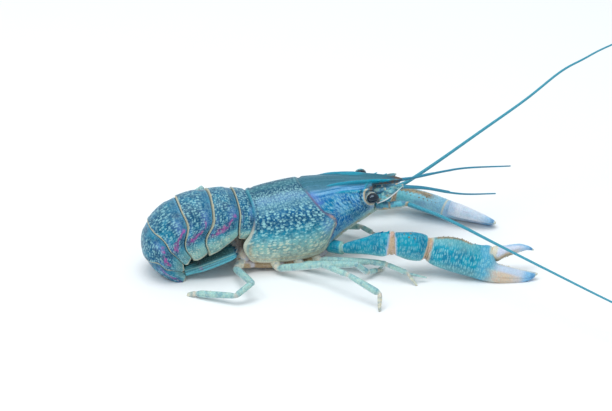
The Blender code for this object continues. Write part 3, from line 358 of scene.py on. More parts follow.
def skin(spots, wide, high, up=(0, 0, 1), sides=24, ends=(None, None)):
    """Grid of points round a line, its height along up. ends are the directions that its ends face."""
    spots, wide, high = (np.asarray(v, float) for v in (spots, wide, high))
    along = unit(np.gradient(spots, axis=0))
    run = run_along(spots)
    reach = min(2.2 * max(wide[len(wide) // 2], 0.5), run[-1] / 2)
    for away, direction in zip((run, run[-1] - run), ends):
        if direction is not None:
            weight = ease(away, 0, reach)[:, None]
            along = unit(unit(direction) * (1 - weight) + along * weight)
    across = np.cross(along, np.asarray(up, float))
    for i in range(1, len(across)):
        if np.linalg.norm(across[i]) <= 0.2:
            across[i] = across[i - 1]
    side = unit(across - along * (across * along).sum(1, keepdims=True))
    rise = np.cross(side, along)
    c, s = section(sides)
    high = high if high.ndim == 2 else high[:, None]
    return on_floor(spots[:, None] + side[:, None] * (wide[:, None] * c)[..., None]
                    + rise[:, None] * (high * s)[..., None])


def stations(*rows):
    """Stations of a tube, each from a point, a half width and, if it isn't the same, a half height."""
    return np.array([(*row[0], row[1], row[-1]) for row in rows])


def dense(stations, rows=40, dome=0.35):
    """Many stations along a smooth line through a few, drawn in to rounded ends. Gives the places along the
    line, the points and the two half sizes."""
    stations = np.asarray(stations, float)
    run = run_along(stations[:, :3])
    total = run[-1]
    table = np.concatenate([run[:, None], stations], 1)
    near, far = (min(row[3:].mean() * dome, total / 4) for row in (stations[0], stations[-1]))
    soft = np.array((0.0, 0.04, 0.14, 0.32, 0.6))
    at = np.concatenate([near * soft, np.linspace(near, total - far, rows), total - far * soft[::-1]])
    squeeze = np.ones(len(at))
    for length, away in ((near, at), (far, total - at)):
        squeeze *= np.sqrt(np.clip(1 - (1 - np.clip(away / max(length, 1e-6), 0, 1)) ** 2, 0.04, 1))
    wide, high = curve(table[:, (0, 4, 5)], at, steady=True).T * squeeze
    return at, curve(table, at)[:, :3], wide, high


def tube(stations, up=(0, 0, 1), rows=40, sides=24, ends=(None, None), dome=0.35):
    """Grid round a line through stations of (x, y, z, half width, half height)."""
    at, spots, wide, high = dense(stations, rows, dome)
    return skin(spots, wide, high, up, sides, ends)


def up_beside(way):
    """An up direction that doesn't lie along the given one."""
    return (0, 0, 1) if abs(way[2]) < 0.8 else (1, 0, 0)


def spine_grid(foot, tip, radius, sides=14):
    """Grid of a pointed spine."""
    foot, tip = np.array(foot, float), np.array(tip, float)
    rows = stations((foot, radius), (foot * 0.55 + tip * 0.45, radius * 0.72), (tip, 0.1))
    return tube(rows, up_beside(unit(tip - foot)), rows=12, sides=sides)


def ball(centre, radii, pole=(0, 0, 1), rows=48, cols=64):
    """Grid of an ellipsoid, its poles along the given direction."""
    pole = unit(pole)
    side = unit(np.cross(pole, (0.1, 0.2, 0.97)))
    rise = np.cross(side, pole)
    theta = np.linspace(0.02, np.pi - 0.02, rows)[:, None, None]
    phi = 2 * np.pi * np.arange(cols)[None, :, None] / cols
    shape = -np.cos(theta) * pole + np.sin(theta) * (np.cos(phi) * side + np.sin(phi) * rise)
    return np.asarray(centre) + shape * np.asarray(radii)


def edge_line(grid, side):
    """The line along a grid that lies furthest to one side."""
    return grid[np.arange(len(grid)), np.argmax(grid[..., 1] * side, axis=1)]


# Meshes

def add_object(name, data):
    made = bpy.data.objects.new(name, data)
    bpy.context.scene.collection.objects.link(made)
    return made


def add_mesh(name, points, faces, split_ends=False):
    """A mesh in the scene with its faces turned outward, and its many-sided ends split if asked."""
    mesh = bpy.data.meshes.new(name)
    mesh.from_pydata(points.tolist(), [], faces)
    work = bmesh.new()
    work.from_mesh(mesh)
    if split_ends:
        ends = [f for f in work.faces if len(f.verts) > 4]
        bmesh.ops.triangulate(work, faces=ends, ngon_method="EAR_CLIP")
    bmesh.ops.recalc_face_normals(work, faces=work.faces[:])
    work.to_mesh(mesh)
    work.free()
    return add_object(name, mesh)


def set_marks(made, marks):
    """Writes the tones and marks of each point for the material to read."""
    tint = np.ones((len(made.data.vertices), 4))
    tint[:, :3] = marks["tint"]
    for key, kind, field, values in (
            ("tint", "FLOAT_COLOR", "color", tint), ("dots", "FLOAT", "value", marks["dots"]),
            ("net", "FLOAT", "value", marks["net"]), ("flow", "FLOAT_VECTOR", "vector", marks["flow"])):
        mark = made.data.attributes.new(key, kind, "POINT")
        mark.data.foreach_set(field, np.asarray(values, np.float32).ravel())


def place(made, *nodes, slot=None):
    """Sets a piece on the body, in place of the nodes that it stands for."""
    if nodes:
        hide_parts(*nodes)
    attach(made, "root")


class Piece:
    """A mesh made of grids, each with its own tones and marks."""

    def __init__(self, name):
        self.name, self.count = name, 0
        self.points, self.faces = [], []
        self.marks = {"tint": [], "dots": [], "net": [], "flow": []}

    def keep(self, points, **marks):
        """Adds points with their marks, each either one for all of them or one for each."""
        shape = points.shape[:-1]
        for key, value in marks.items():
            width = (3,) if key in ("tint", "flow") else ()
            self.marks[key].append(np.broadcast_to(value, shape + width).reshape(-1, *width))
        self.points.append(points.reshape(-1, 3))
        self.count += math.prod(shape)

    def add(self, points, look, seam=None):
        """A closed grid with capped ends. look takes the points and their shares along and round the grid and
        gives their marks. The pattern's flow is measured round each row from the side opposite the seam."""
        rows, cols = points.shape[:2]
        index = np.arange(rows * cols).reshape(rows, cols) + self.count
        side = np.roll(index, -1, 1)
        quads = np.stack([index[:-1], side[:-1], side[1:], index[1:]], -1).reshape(-1, 4)
        self.faces += [*quads.tolist(), index[0].tolist(), index[-1][::-1].tolist()]
        run = run_along(points.mean(1))
        share = np.repeat((run / max(run[-1], 1e-9))[:, None], cols, 1)
        turn = np.repeat(np.arange(cols)[None] / cols, rows, 0)
        start = 3 * cols // 4 if seam is None else seam
        arc = run_along(np.roll(points, -start, 1).transpose(1, 0, 2)).T
        arc = np.roll(arc - arc[:, cols // 2, None], start, 1)
        flow = np.stack([np.repeat(run[:, None], cols, 1), arc, 0 * arc], -1)
        apart = (self.count + rows * cols) % 97
        self.keep(points, **{"dots": 0.0, "net": 0.0, **look(points, share, turn)}, flow=flow + apart)
        return self

    def hairs(self, feet, tips, name, radius=HAIR_RADIUS):
        """Fine three-sided hairs of one tone from their feet to their tips."""
        along = unit(tips - feet)
        side = unit(np.cross(along, (0.3, 0.5, 0.81)))
        rise = np.cross(along, side)
        rings = [spot + (side * math.cos(turn) + rise * math.sin(turn)) * radius * size
                 for spot, size in ((feet, 1.0), ((feet + tips) / 2, 0.7))
                 for turn in (0, 2 * math.pi / 3, 4 * math.pi / 3)]
        for a in (self.count + np.arange(len(feet)) * 7).tolist():
            for k, n in ((0, 1), (1, 2), (2, 0)):
                self.faces += [[a + k, a + n, a + 3 + n, a + 3 + k], [a + 3 + k, a + 3 + n, a + 6]]
            self.faces.append([a + 2, a + 1, a])
        self.keep(np.stack([*rings, tips], 1), tint=tone(name), dots=0.0, net=0.0, flow=0.0)

    def knobs(self, feet, ways, sizes, name):
        """Low pointed tubercles of one tone standing on the surface."""
        for foot, way, size in zip(feet, np.broadcast_to(ways, np.shape(feet)), sizes):
            way = unit(way)
            rows = stations((foot - way * size * 0.7, size), (foot + way * size * 0.25, size * 0.82),
                            (foot + way * size * 0.95, size * 0.3))
            self.add(tube(rows, up_beside(way), rows=8, sides=12, dome=0.9), look_of(name))

    def make(self, finish, *nodes, slot=None):
        """Puts the piece in the scene in place of its nodes."""
        made = add_mesh(self.name, (np.concatenate(self.points) - FOOTPRINT_MIDDLE) * MM, self.faces)
        set_marks(made, {key: np.concatenate(value) for key, value in self.marks.items()})
        made.data.shade_smooth()
        made.data.set_sharp_from_angle(angle=math.radians(60))
        made.data.materials.append(finish)
        place(made, *nodes, slot=slot)


# Materials

class Graph:
    """Short ways to write the node tree of a finish."""

    def __init__(self, name):
        self.material = bpy.data.materials.new(name)
        self.material.use_nodes = True
        self.tree = self.material.node_tree
        self.shader = self.tree.nodes["Principled BSDF"]
        self.spot = self.vector("MULTIPLY", self.make("TexCoord", {}, "Object"), (1 / MM,) * 3)

    def feed(self, target, inputs):
        """Links or sets the inputs of a node."""
        for key, value in inputs.items():
            if isinstance(value, bpy.types.NodeSocket):
                self.tree.links.new(value, target.inputs[key])
            else:
                target.inputs[key].default_value = value

    def make(self, kind, inputs, output=0, **settings):
        """A new node with its settings and inputs. Gives one of its outputs."""
        made = self.tree.nodes.new("ShaderNode" + kind)
        for key, value in settings.items():
            setattr(made, key, value)
        self.feed(made, inputs)
        return made.outputs[output]

    def mark(self, name, output="Fac"):
        return self.make("Attribute", {}, output, attribute_name=name)

    def math(self, operation, a, b=0.0, c=0.0):
        return self.make("Math", {0: a, 1: b, 2: c}, operation=operation)

    def times(self, first, *others):
        for other in others:
            first = self.math("MULTIPLY", first, other)
        return first

    def vector(self, operation, a, b):
        return self.make("VectorMath", {0: a, 1: b}, operation=operation)

    def spread(self, value, low, high, to_low=0.0, to_high=1.0):
        """The value, taken smoothly from its range of low to high to the other range."""
        inputs = dict(enumerate((value, low, high, to_low, to_high)))
        return self.make("MapRange", inputs, interpolation_type="SMOOTHSTEP")

    def grain(self, size, detail=2.0, output=0):
        return self.make("TexNoise", {"Vector": self.spot, "Scale": 1 / size, "Detail": detail}, output)

    def cells(self, vector, size, output="Distance", random=0.85, dimensions="2D"):
        inputs = {"Vector": vector, "Scale": 1 / size, "Randomness": random}
        return self.make("TexVoronoi", inputs, output, voronoi_dimensions=dimensions)

    def mix(self, amount, a, b):
        a, b = ((*v, 1) if isinstance(v, (tuple, np.ndarray)) else v for v in (a, b))
        return self.make("Mix", {0: amount, 6: a, 7: b}, 2, data_type="RGBA")

    def bump(self, height, strength, distance):
        return self.make("Bump", {"Strength": strength, "Distance": distance, "Height": height})


def shell_finish(name, dot_size=1.3, grain_size=(0.8, 1.1), pale="dot", deep="ink", rough=(0.26, 0.44),
                 coat=0.06, glow=0.0, relief=0.07, dot_amount=0.8, grain_amount=0.5):
    """Glossy shell: the painted tone with pale round dots, finer pale strokes, mottling and a slight relief.
    The dots and strokes lie in the flow, which runs along the piece and round it."""
    g = Graph(name)
    tint, flow, dotted = g.mark("tint", "Color"), g.mark("flow", "Vector"), g.mark("dots")
    wobble = g.vector("SUBTRACT", g.grain(1.1, output=1), (0.5, 0.5, 0.5))

    wavy = g.vector("ADD", flow, g.vector("MULTIPLY", wobble, (0.6, 0.6, 0.6)))
    kind = g.make("SeparateColor", {0: g.cells(wavy, dot_size, "Color")}).node.outputs
    edge = g.math("MULTIPLY_ADD", kind[0], 0.24, 0.20)
    dots = g.times(g.spread(g.math("SUBTRACT", edge, g.cells(wavy, dot_size)), -0.11, 0.11),
                   g.spread(kind[1], 0.05, 0.55, 0.25, 1.0), dotted)

    steady = g.vector("ADD", flow, g.vector("MULTIPLY", wobble, (0.5, 0.2, 0.2)))
    fine = g.vector("MULTIPLY", steady, (1 / grain_size[0], 1 / grain_size[1], 1.0))
    strokes = g.times(g.spread(g.cells(fine, 1.0, random=0.6), 0.22, 0.46, 1.0, 0.0),
                      g.spread(g.grain(0.9), 0.28, 0.60, 0.15, 1.0), g.mark("net"))

    red = g.make("SeparateColor", {0: tint})
    cloud = g.spread(g.grain(2.2, 3.0), 0.36, 0.64)
    colour = g.mix(g.times(cloud, g.times(dotted, 0.40)), tint, tone(deep))
    colour = g.mix(g.times(strokes, grain_amount), colour, tone(pale))
    dot_colour = g.mix(g.spread(red, 0.08, 0.26), tone(pale), tone("pearl"))
    colour = g.mix(g.times(dots, dot_amount), colour, dot_colour)
    speck = g.spread(g.grain(0.28), 0.3, 0.7, 0.84, 1.14)
    height = g.math("ADD", g.times(dots, 0.7), g.times(g.grain(0.5, 3.0), 0.5))
    height = g.math("ADD", height, g.times(strokes, 0.3))
    g.feed(g.shader, {
        "Base Color": g.make("VectorMath", {0: colour, "Scale": speck}, operation="SCALE"),
        "Roughness": g.spread(g.grain(0.9, 3.0), 0.3, 0.7, *rough),
        "Specular IOR Level": 0.16, "Coat Weight": coat, "Coat Roughness": 0.18,
        "Subsurface Weight": glow, "Subsurface Radius": (0.8, 1.2, 1.4), "Subsurface Scale": MM,
        "Normal": g.bump(height, 0.7, relief * MM)})
    return g.material


def eye_finish():
    """Black cornea with faint facets."""
    g = Graph("eye_black")
    facets = g.cells(g.spot, 0.16, dimensions="3D")
    g.feed(g.shader, {
        "Base Color": g.mix(g.spread(facets, 0.1, 0.5), (0.003, 0.008, 0.022), (0.001, 0.003, 0.010)),
        "Roughness": g.spread(g.grain(0.4), 0.3, 0.7, 0.02, 0.06),
        "Specular IOR Level": 0.8, "Specular Tint": (0.6, 0.82, 1.0, 1.0),
        "Normal": g.bump(facets, 0.1, 0.008 * MM)})
    return g.material


def floor_finish():
    g = Graph("pale_floor")
    g.feed(g.shader, {"Base Color": g.mix(g.grain(60.0), (0.86, 0.90, 0.925), (0.875, 0.91, 0.93)),
                      "Roughness": 0.7, "Specular IOR Level": 0.2})
    return g.material


SHELL = shell_finish("shell_blue", 1.08, (0.7, 1.1), grain_amount=0.6)
PLATE = shell_finish("plate_blue", 0.88, (0.7, 0.7), dot_amount=0.55)
CLAW = shell_finish("claw_turquoise", 1.2, (0.74, 2.1), glow=0.1, grain_amount=0.52)
LIMB = shell_finish("limb_pale", 1.2, (1.2, 0.8), deep="teal", glow=0.2, relief=0.03, grain_amount=0.35)
FEELER = shell_finish("feeler_rings", 1.5, deep="teal", rough=(0.35, 0.5), relief=0.02)
SOFT = shell_finish("soft_joint", 1.1, (0.8, 0.8), "white", "olive", (0.4, 0.6), 0.08, 0.3, 0.04)
EYE = eye_finish()


# Carapace

def shield_arch(x):
    """The height of the back, the radius upward and the half width of the shield's arch at a length."""
    back, low, half = line(BACK_LINE, x), line(LOWER_EDGE, x), line(HALF_WIDTH, x)
    return back, (back - low) / (1 - math.cos(math.radians(ARCH_ANGLE))), half


def shield_surface(along, turn):
    """Points of the shield. along runs from the rear edge to the front wall and turn is in degrees, 0 on the
    back."""
    down = np.abs(turn)
    rear_fade = np.maximum(0.0, 1 - along / GROOVE_AT)
    ahead = (SHIELD_LENGTH - along) / (SHIELD_LENGTH - GROOVE_AT)
    groove_fade = np.maximum(np.minimum(along / GROOVE_AT, ahead), 0)
    x = along + line(REAR_LINE, down) * rear_fade + line(GROOVE_LINE, down) * groove_fade
    back, rise, half = shield_arch(x)
    rad = np.radians(turn)
    y = np.sign(rad) * half * np.abs(np.sin(rad)) ** ARCH_POWER
    return np.stack([x, y, back - rise + rise * np.cos(rad)], -1)


def shield_relief(along, turn):
    """How far the surface is sunk: the cervical groove, the furrow inside the rim and the rounded front edge."""
    down = np.abs(turn)
    return (0.55 * hump(along, GROOVE_AT, 1.3) * ease(down, 118, 95)
            + 0.22 * hump(along, 2.1, 0.9) - 0.12 * hump(along, 0.9, 0.8) + 0.6 * ease(along, 0.5, 0.0)
            + 0.22 * hump(down, 115, 4) * ease(along, 0.5, 3) - 0.1 * hump(down, 121, 5)
            + 0.5 * ease(along, SHIELD_LENGTH - 0.7, SHIELD_LENGTH))


def shield_grid(rows=190, cols=170):
    """The shield's outer surface, with the length and the turn of each point."""
    along, turn = np.meshgrid(np.linspace(0, SHIELD_LENGTH, rows), np.linspace(-ARCH_ANGLE, ARCH_ANGLE, cols),
                              indexing="ij")
    rad = np.radians(turn)
    inward = np.stack([0 * rad, -np.sin(rad), -np.cos(rad)], -1)
    fade = np.where(np.abs(turn) < ARCH_ANGLE * 0.93, 1.0, 0.3)
    return along, turn, shield_surface(along, turn) + inward * (shield_relief(along, turn) * fade)[..., None]


def shield_ring_inner(outer):
    """The inside of the rim and the floor of the shell, from the left edge to the right one."""
    inner = []
    for share in (-1.0, -0.95, -0.9, -0.7, -0.45, -0.2, 0.0, 0.2, 0.45, 0.7, 0.9, 0.95, 1.0):
        edge = outer[:, -1] if share < 0 else outer[:, 0]
        out = np.abs(edge[:, 1])
        if abs(share) == 1:
            y, lift = out - RIM_WIDTH, RIM_LIFT
        else:
            y, lift = out * abs(share), LIP * (0.7 if abs(share) == 0.95 else 1)
        inner.append(np.stack([edge[:, 0], -np.sign(share) * y, edge[:, 2] + lift], -1))
    return np.stack(inner, 1)


def side_y(x, z):
    """How far out the shield's side lies at a length and a height."""
    back, rise, half = shield_arch(x)
    return half * np.sin(np.arccos(np.clip((z - back + rise) / rise, -1, 1))) ** ARCH_POWER


def rostrum_grid():
    """The beak: a flat top with raised edges over a keeled underside."""
    places = np.linspace(ROSTRUM_ROWS[0][0], ROSTRUM_TIP, 90)
    half, top, deep = curve(ROSTRUM_ROWS, places).T
    rim = np.minimum(0.5, half * 0.3)
    rings = []
    for i, x in enumerate(places):
        corners = [(h * half[i] + r * rim[i], d * deep[i] + t * rim[i]) for h, r, d, t in ROSTRUM_SECTION]
        ring = closed_spline(corners, 48)
        rings.append(np.stack([np.full(48, x), ring[:, 0], top[i] + ring[:, 1]], -1))
    return np.stack(rings)


def carapace_parts(outer):
    """Closed grids of the shell, the beak, the keels, their teeth and the rims of the eye sockets."""
    ring = np.concatenate([outer, shield_ring_inner(outer)], 1)
    first, middle = ring[0], ring[0].mean(0)
    hollow = [np.stack([first[:, 0] + deep, first[:, 1] * size, middle[2] + (first[:, 2] - middle[2]) * size], -1)
              for deep, size in ((5.0, 0.86), (2.0, 0.90), (0.3, 0.945))]
    parts = [np.concatenate([hollow, ring]), rostrum_grid()]
    for _, side in SIDES:
        for keel in (ROSTRAL_KEEL, BROW_KEEL):
            rows = [(x, y * side, z, half, half * 1.2) for x, y, z, half in keel]
            parts.append(tube(rows, rows=60, sides=16))
        for x in ROSTRUM_TEETH:
            half, top = curve(ROSTRUM_ROWS, x)[:2]
            foot, tip = (x - 0.9, (half - 0.4) * side, top), (x + 1.2, (half + 0.6) * side, top + 0.4)
            parts.append(spine_grid(foot, tip, 0.45))
        parts.append(spine_grid((40.2, 6.3 * side, 25.7), (42.4, 6.5 * side, 26.3), 0.5))
        theta = np.radians(np.linspace(78, 268, 40))
        x = EYE_CENTRE[0] + 0.5 + 3.5 * np.cos(theta)
        z = EYE_CENTRE[2] - 0.1 + 3.1 * np.sin(theta)
        y = side_y(np.minimum(x, 43.6), z) + 0.05
        size = 0.42 * np.sin(np.linspace(0.25, np.pi - 0.25, 40)) ** 0.5
        parts.append(tube(np.stack([x, y * side, z, size, size], -1), (0, 1, 0.02), rows=70, sides=14))
    return parts


def apply_modifiers(made):
    graph = bpy.context.evaluated_depsgraph_get()
    mesh = bpy.data.meshes.new_from_object(made.evaluated_get(graph))
    made.modifiers.clear()
    old, made.data = made.data, mesh
    bpy.data.meshes.remove(old)


def cut_eye_sockets(made):
    x, y, z = EYE_CENTRE
    sockets = []
    for _, side in SIDES:
        work = bmesh.new()
        bmesh.ops.create_uvsphere(work, u_segments=48, v_segments=32, radius=1.0)
        bmesh.ops.scale(work, vec=SOCKET_RADII, verts=work.verts)
        bmesh.ops.translate(work, vec=(x + 0.4, (y + 0.4) * side, z), verts=work.verts)
        mesh = bpy.data.meshes.new("socket")
        work.to_mesh(mesh)
        work.free()
        sockets.append(add_object("socket", mesh))
        cut = made.modifiers.new("socket", "BOOLEAN")
        cut.operation, cut.object, cut.solver = "DIFFERENCE", sockets[-1], "MANIFOLD"
    apply_modifiers(made)
    for socket in sockets:
        bpy.data.objects.remove(socket)


def make_carapace():
    """The carapace: its parts joined by a remesh, with the eye sockets cut out of it."""
    along, turn, outer = shield_grid()
    parts = Piece("shell_carapace")
    for grid in carapace_parts(outer):
        parts.add(grid, look_of("blue"))
    made = add_mesh(parts.name, np.concatenate(parts.points), parts.faces, split_ends=True)
    remesh = made.modifiers.new("blend", "REMESH")
    remesh.mode, remesh.use_smooth_shade = "VOXEL", True
    remesh.voxel_size = 0.21
    soften = made.modifiers.new("soften", "SMOOTH")
    soften.factor, soften.iterations = 0.5, 3
    apply_modifiers(made)
    cut_eye_sockets(made)

    mesh = made.data
    points = np.empty(len(mesh.vertices) * 3, np.float32)
    mesh.vertices.foreach_get("co", points)
    points = points.reshape(-1, 3).astype(float)
    plain = outer.reshape(-1, 3)
    tree = KDTree(len(plain))
    for i, p in enumerate(plain):
        tree.insert(p, i)
    tree.balance()
    found = np.array([tree.find(p)[1] for p in points])
    set_marks(made, carapace_marks(points, along.reshape(-1)[found], turn.reshape(-1)[found], plain[found]))
    mesh.vertices.foreach_set("co", ((points - FOOTPRINT_MIDDLE) * MM).astype(np.float32).ravel())
    mesh.update()
    mesh.shade_smooth()
    mesh.materials.clear()
    mesh.materials.append(SHELL)
    place(made, "carapace")


def carapace_marks(points, along, turn, plain):
    """Tones of the shield: dusky back, grey-lavender shoulder that is partly a painted highlight, dark dotted
    flank, pale lower third, cream rim, and a saturated blue head before the groove. plain holds the nearest points
    of the plain shield."""
    down = np.abs(turn)
    t = down + 5 * (noise(points, 4.0, 1) - 0.5) + 3 * (noise(points, 1.3, 2) - 0.5)
    u = along + 0.5 * (noise(points, 1.5, 3) - 0.5)

    def strands(fine_along, fine_turn, seed):
        return noise(np.stack([along * fine_along, turn * fine_turn, 0 * turn], -1), 1.0, seed)
    grooves, streaks, stripes = strands(0.12, 0.5, 27), strands(0.16, 0.55, 24), strands(1.5, 0.09, 5)

    rear = layers(
        "ridge", ("slate", ease(t, 5, 10)), ("ink", 0.35 * ease(t, 2, 8) * ease(t, 22, 16)),
        # The haze and faint lavender over the shoulder are partly the shell's grey-lavender tone, partly a painted
        # highlight.
        ("haze", ease(t, 17, 28)), ("lavender", 0.22 * hump(t, 30, 10)), ("teal", ease(t, 44, 56)),
        ("blue", 0.4 * hump(t, 56, 14)), ("ink", 0.45 * hump(t, 62, 12)),
        ("turquoise", 0.7 * ease(t, 68, 80)), ("aqua", 0.75 * ease(t, 76, 90)),
        ("sage", 0.85 * ease(t, 80, 102)),
        ("lavender", 0.6 * hump(u, GROOVE_AT - 1.6, 2.2) * hump(t, 84, 20)),
        ("ink", 0.35 * hump(t, 10, 5) * patches(points, 1.4, 12, 0.4, 0.7)),
        ("cream", 0.45 * ease(t, 98, 114)))
    front = layers(
        "ridge", ("haze", 0.6 * ease(grooves, 0.5, 0.8) + 0.4 * ease(t, 12, 20)),
        ("slate", 0.6 * ease(grooves, 0.45, 0.2) * ease(t, 20, 14)), ("blue", ease(t, 20, 36)),
        ("sky", 0.85 * hump(t, 34, 14) * ease(u, 44, 36) * ease(streaks, 0.25, 0.7)),
        ("mist", 0.5 * hump(t, 30, 8) * ease(streaks, 0.6, 0.8)),
        ("lavender", 0.7 * ease(u, GROOVE_AT + 4, GROOVE_AT + 0.5) * ease(t, 24, 32) * ease(t, 58, 46)),
        ("turquoise", 0.4 * patches(points, 2.4, 15, 0.35, 0.65) * ease(t, 40, 50)),
        ("ink", 0.5 * ease(t, 74, 92) * ease(t, 112, 100) * patches(points, 2.0, 16, 0.25, 0.6)),
        ("aqua", 0.3 * ease(t, 108, 116)), ("mist", 0.6 * ease(u, 38.0, 42.0) * ease(t, 56, 76)),
        ("sage", 0.6 * ease(u, 32.0, 40.0) * ease(t, 98, 112)),
        ("cream", 0.6 * ease(u, 41.2, 43.2) * ease(t, 66, 86) * patches(points, 1.1, 45, 0.3, 0.6)),
        ("sky", 0.9 * hump(t, 62, 30) * ease(stripes, 0.46, 0.66) * ease(u, 20.5, 23)),
        ("ink", 0.5 * hump(t, 66, 34) * ease(stripes, 0.40, 0.24) * ease(u, 20.5, 23)),
        ("lavender", 0.6 * hump(t, 72, 20) * ease(stripes, 0.70, 0.84) * ease(u, 24, 28)),
        ("rose", 0.3 * hump(t, 72, 10) * ease(stripes, 0.82, 0.92) * ease(u, 24, 28)))

    ahead = ease(along, GROOVE_AT - 0.25, GROOVE_AT + 0.25)
    groove = hump(along, GROOVE_AT, 0.75) * ease(down, 18, 30) * ease(down, 122, 112)
    crumbs = patches(points, 0.8, 17, 0.45, 0.65) * ease(down, 66, 76) * ease(down, 104, 96)
    rim = np.maximum(ease(along, 0.85, 0.5), ease(down, 119.0, 121.0))
    inner = np.maximum(hump(along, 1.35, 0.7), hump(down, 117.0, 2.2))
    x, y, z = points.T
    out = np.abs(y)
    off = np.linalg.norm(points - plain, axis=1)
    keel = np.where((x > 27) & (z > 24.2), ease(off, 0.12, 0.3), 0.0)
    half, top = curve(ROSTRUM_ROWS, x)[:, :2].T
    beak = ease(x, 40, 44) * ease(z, 24.0, 24.8)
    ex, _, ez = EYE_CENTRE
    eye_gap = np.sqrt((x - ex - 0.4) ** 2 + (z - ez) ** 2)
    orbit = hump(eye_gap, 3.25, 0.75) * ease(out, 5.8, 6.6) * ease(x, ex + 1.6, ex + 0.2)
    socket = ease(3.0 - eye_gap, 0, 0.3) * ease(x, 38, 39.5) * ease(out, 2.5, 3.5)
    wall = ease(x, SHIELD_LENGTH - 0.5, SHIELD_LENGTH - 0.2) * ease(z, 25.6, 24.8)
    # lid marks the dark mottled strip above each eye: partly its own olive colour, partly painted shade under the
    # beak's edge.
    lid = ease(x, 41.2, 42.4) * ease(z, 22.5, 23.5) * ease(z, 26.4, 25.6) * ease(out, 8.2, 7.2)
    under = ease(off, 0.8, 1.3) * ease(z, 22, 20)
    inside = ease(off, 0.35, 0.7) * ease(along, 1.2, 0.4) * ease(x, -7, -6)
    tint = layers(
        rear * (1 - ahead[:, None]) + front * ahead[:, None],
        ("mauve", 0.7 * groove), ("rose", 0.7 * groove * hump(down, 74, 9)), ("beige", 0.9 * groove * crumbs),
        ("cream", 0.75 * rim * ease(down, 45, 80) * (1 - 0.4 * ahead)), ("aqua", 0.5 * rim * ease(down, 60, 30)),
        ("beige", 0.7 * inner * ease(down, 84, 100) * (1 - 0.7 * ahead)),
        ("brown", 0.35 * ease(down, 121.5, 123.5)),
        ("ink", 0.6 * inner * ease(down, 84, 66) * ease(down, 12, 24)),
        # Turquoise on the raised keels: partly their colour, partly a painted highlight along the ridges.
        ("turquoise", 0.7 * keel * ease(out, 1.5, 2.4)),
        ("ridge", beak), ("turquoise", beak * ease(out / np.maximum(half, 0.2), 0.72, 0.95)),
        ("olive", 0.55 * beak * ease(x, 49, 55)), ("olive", 0.4 * beak * ease(top - z, 0.5, 1.4)),
        ("cream", 0.9 * orbit), ("beige", 0.7 * orbit * patches(points, 1.0, 23, 0.35, 0.7)),
        ("ink", 0.85 * hump(eye_gap, 4.6, 0.9) * ease(x, ex - 0.5, ex - 2) * ease(out, 5, 6.5)),
        ("haze", 0.8 * socket), ("sage", 0.8 * wall * ease(z, 21.5, 20)),
        # Slate and brown over the lid: its mottled colour and painted shade under the beak's edge.
        ("slate", 0.9 * lid), ("brown", 0.75 * lid * patches(points, 0.9, 18, 0.4, 0.6)),
        ("beige", 0.8 * under), ("brown", 0.5 * under * noise(points, 1.6, 6)), ("peach", 0.8 * inside))

    behind = along < GROOVE_AT
    flank = ease(t, 34, 52)
    bare = (1 - rim) * (1 - beak) * (1 - groove) * (1 - orbit)
    dots = np.where(behind, 0.3 + 0.7 * flank, 0.22 * ease(t, 60, 85)) * (1 - 0.6 * inner * ease(t, 84, 100))
    net = np.where(behind, 0.8 * ease(t, 6, 14) * (1 - 0.5 * flank), 0.85 * ease(t, 30, 48))
    flow = np.stack([along, turn * np.where(behind, 0.28, 0.12), 0 * turn], -1)
    return {"tint": tint, "dots": dots * bare, "net": net * bare, "flow": flow}


def make_underside():
    """The floor of the thorax, with a skirt of soft skin below the shield and a swelling at the last legs."""
    places = np.linspace(UNDERSIDE_PLACES[0], SHIELD_LENGTH, 130)
    sizes = curve([(p, *s) for p, s in zip(UNDERSIDE_PLACES, UNDERSIDE_SIZES)], places)
    edges = shield_surface(places, np.full(len(places), ARCH_ANGLE))
    rings = []
    for (x, _, z), (half, deep) in zip(edges, sizes):
        ring = closed_spline([(half * s, z + LIP - GAP - deep * d) for s, d in UNDERSIDE_SECTION], 64)
        rings.append(np.stack([np.full(64, x), *ring.T], -1))
    floor_look = look_of("cream", lambda p, share, turn: (
        ("beige", 0.6 * noise(p, 2.5, 4)), ("haze", 0.35 * ease(share, 0.6, 1))), net=0.5, dots=0.2)
    # The skirt's brown is partly the skin's own colour, partly painted shade under the shield's edge.
    skirt_look = look_of("beige", lambda p, share, turn: (
        ("brown", 0.35 + 0.45 * patches(p, 1.3, 41, 0.4, 0.7)),
        ("frost", 0.6 * patches(p, 2.4, 42, 0.55, 0.75))), net=0.2)
    root_look = look_of("cream", lambda p, share, turn: (
        ("rose", 0.7 * noise(p, 1.6, 43)), ("mist", 0.4 * patches(p, 1.2, 44, 0.5, 0.7))), net=0.2)
    piece = Piece("skin_underside").add(np.stack(rings), floor_look)
    shown = edges[(edges[:, 0] > SKIRT_SPAN[0]) & (edges[:, 0] < SKIRT_SPAN[1])][::4]
    for _, side in SIDES:
        rows = [(x, side * (abs(y) - SKIRT_IN), z - SKIRT_DROP, *SKIRT_SIZE) for x, y, z in shown]
        piece.add(tube([*mirror(SKIRT_START, side), *rows], rows=100, sides=28, dome=0.5), skirt_look)
        piece.add(ball(np.array(LAST_ROOT) * (1, side, 1), LAST_ROOT_SIZE), root_look)
    piece.make(SOFT, "thorax_underside")


# Abdomen

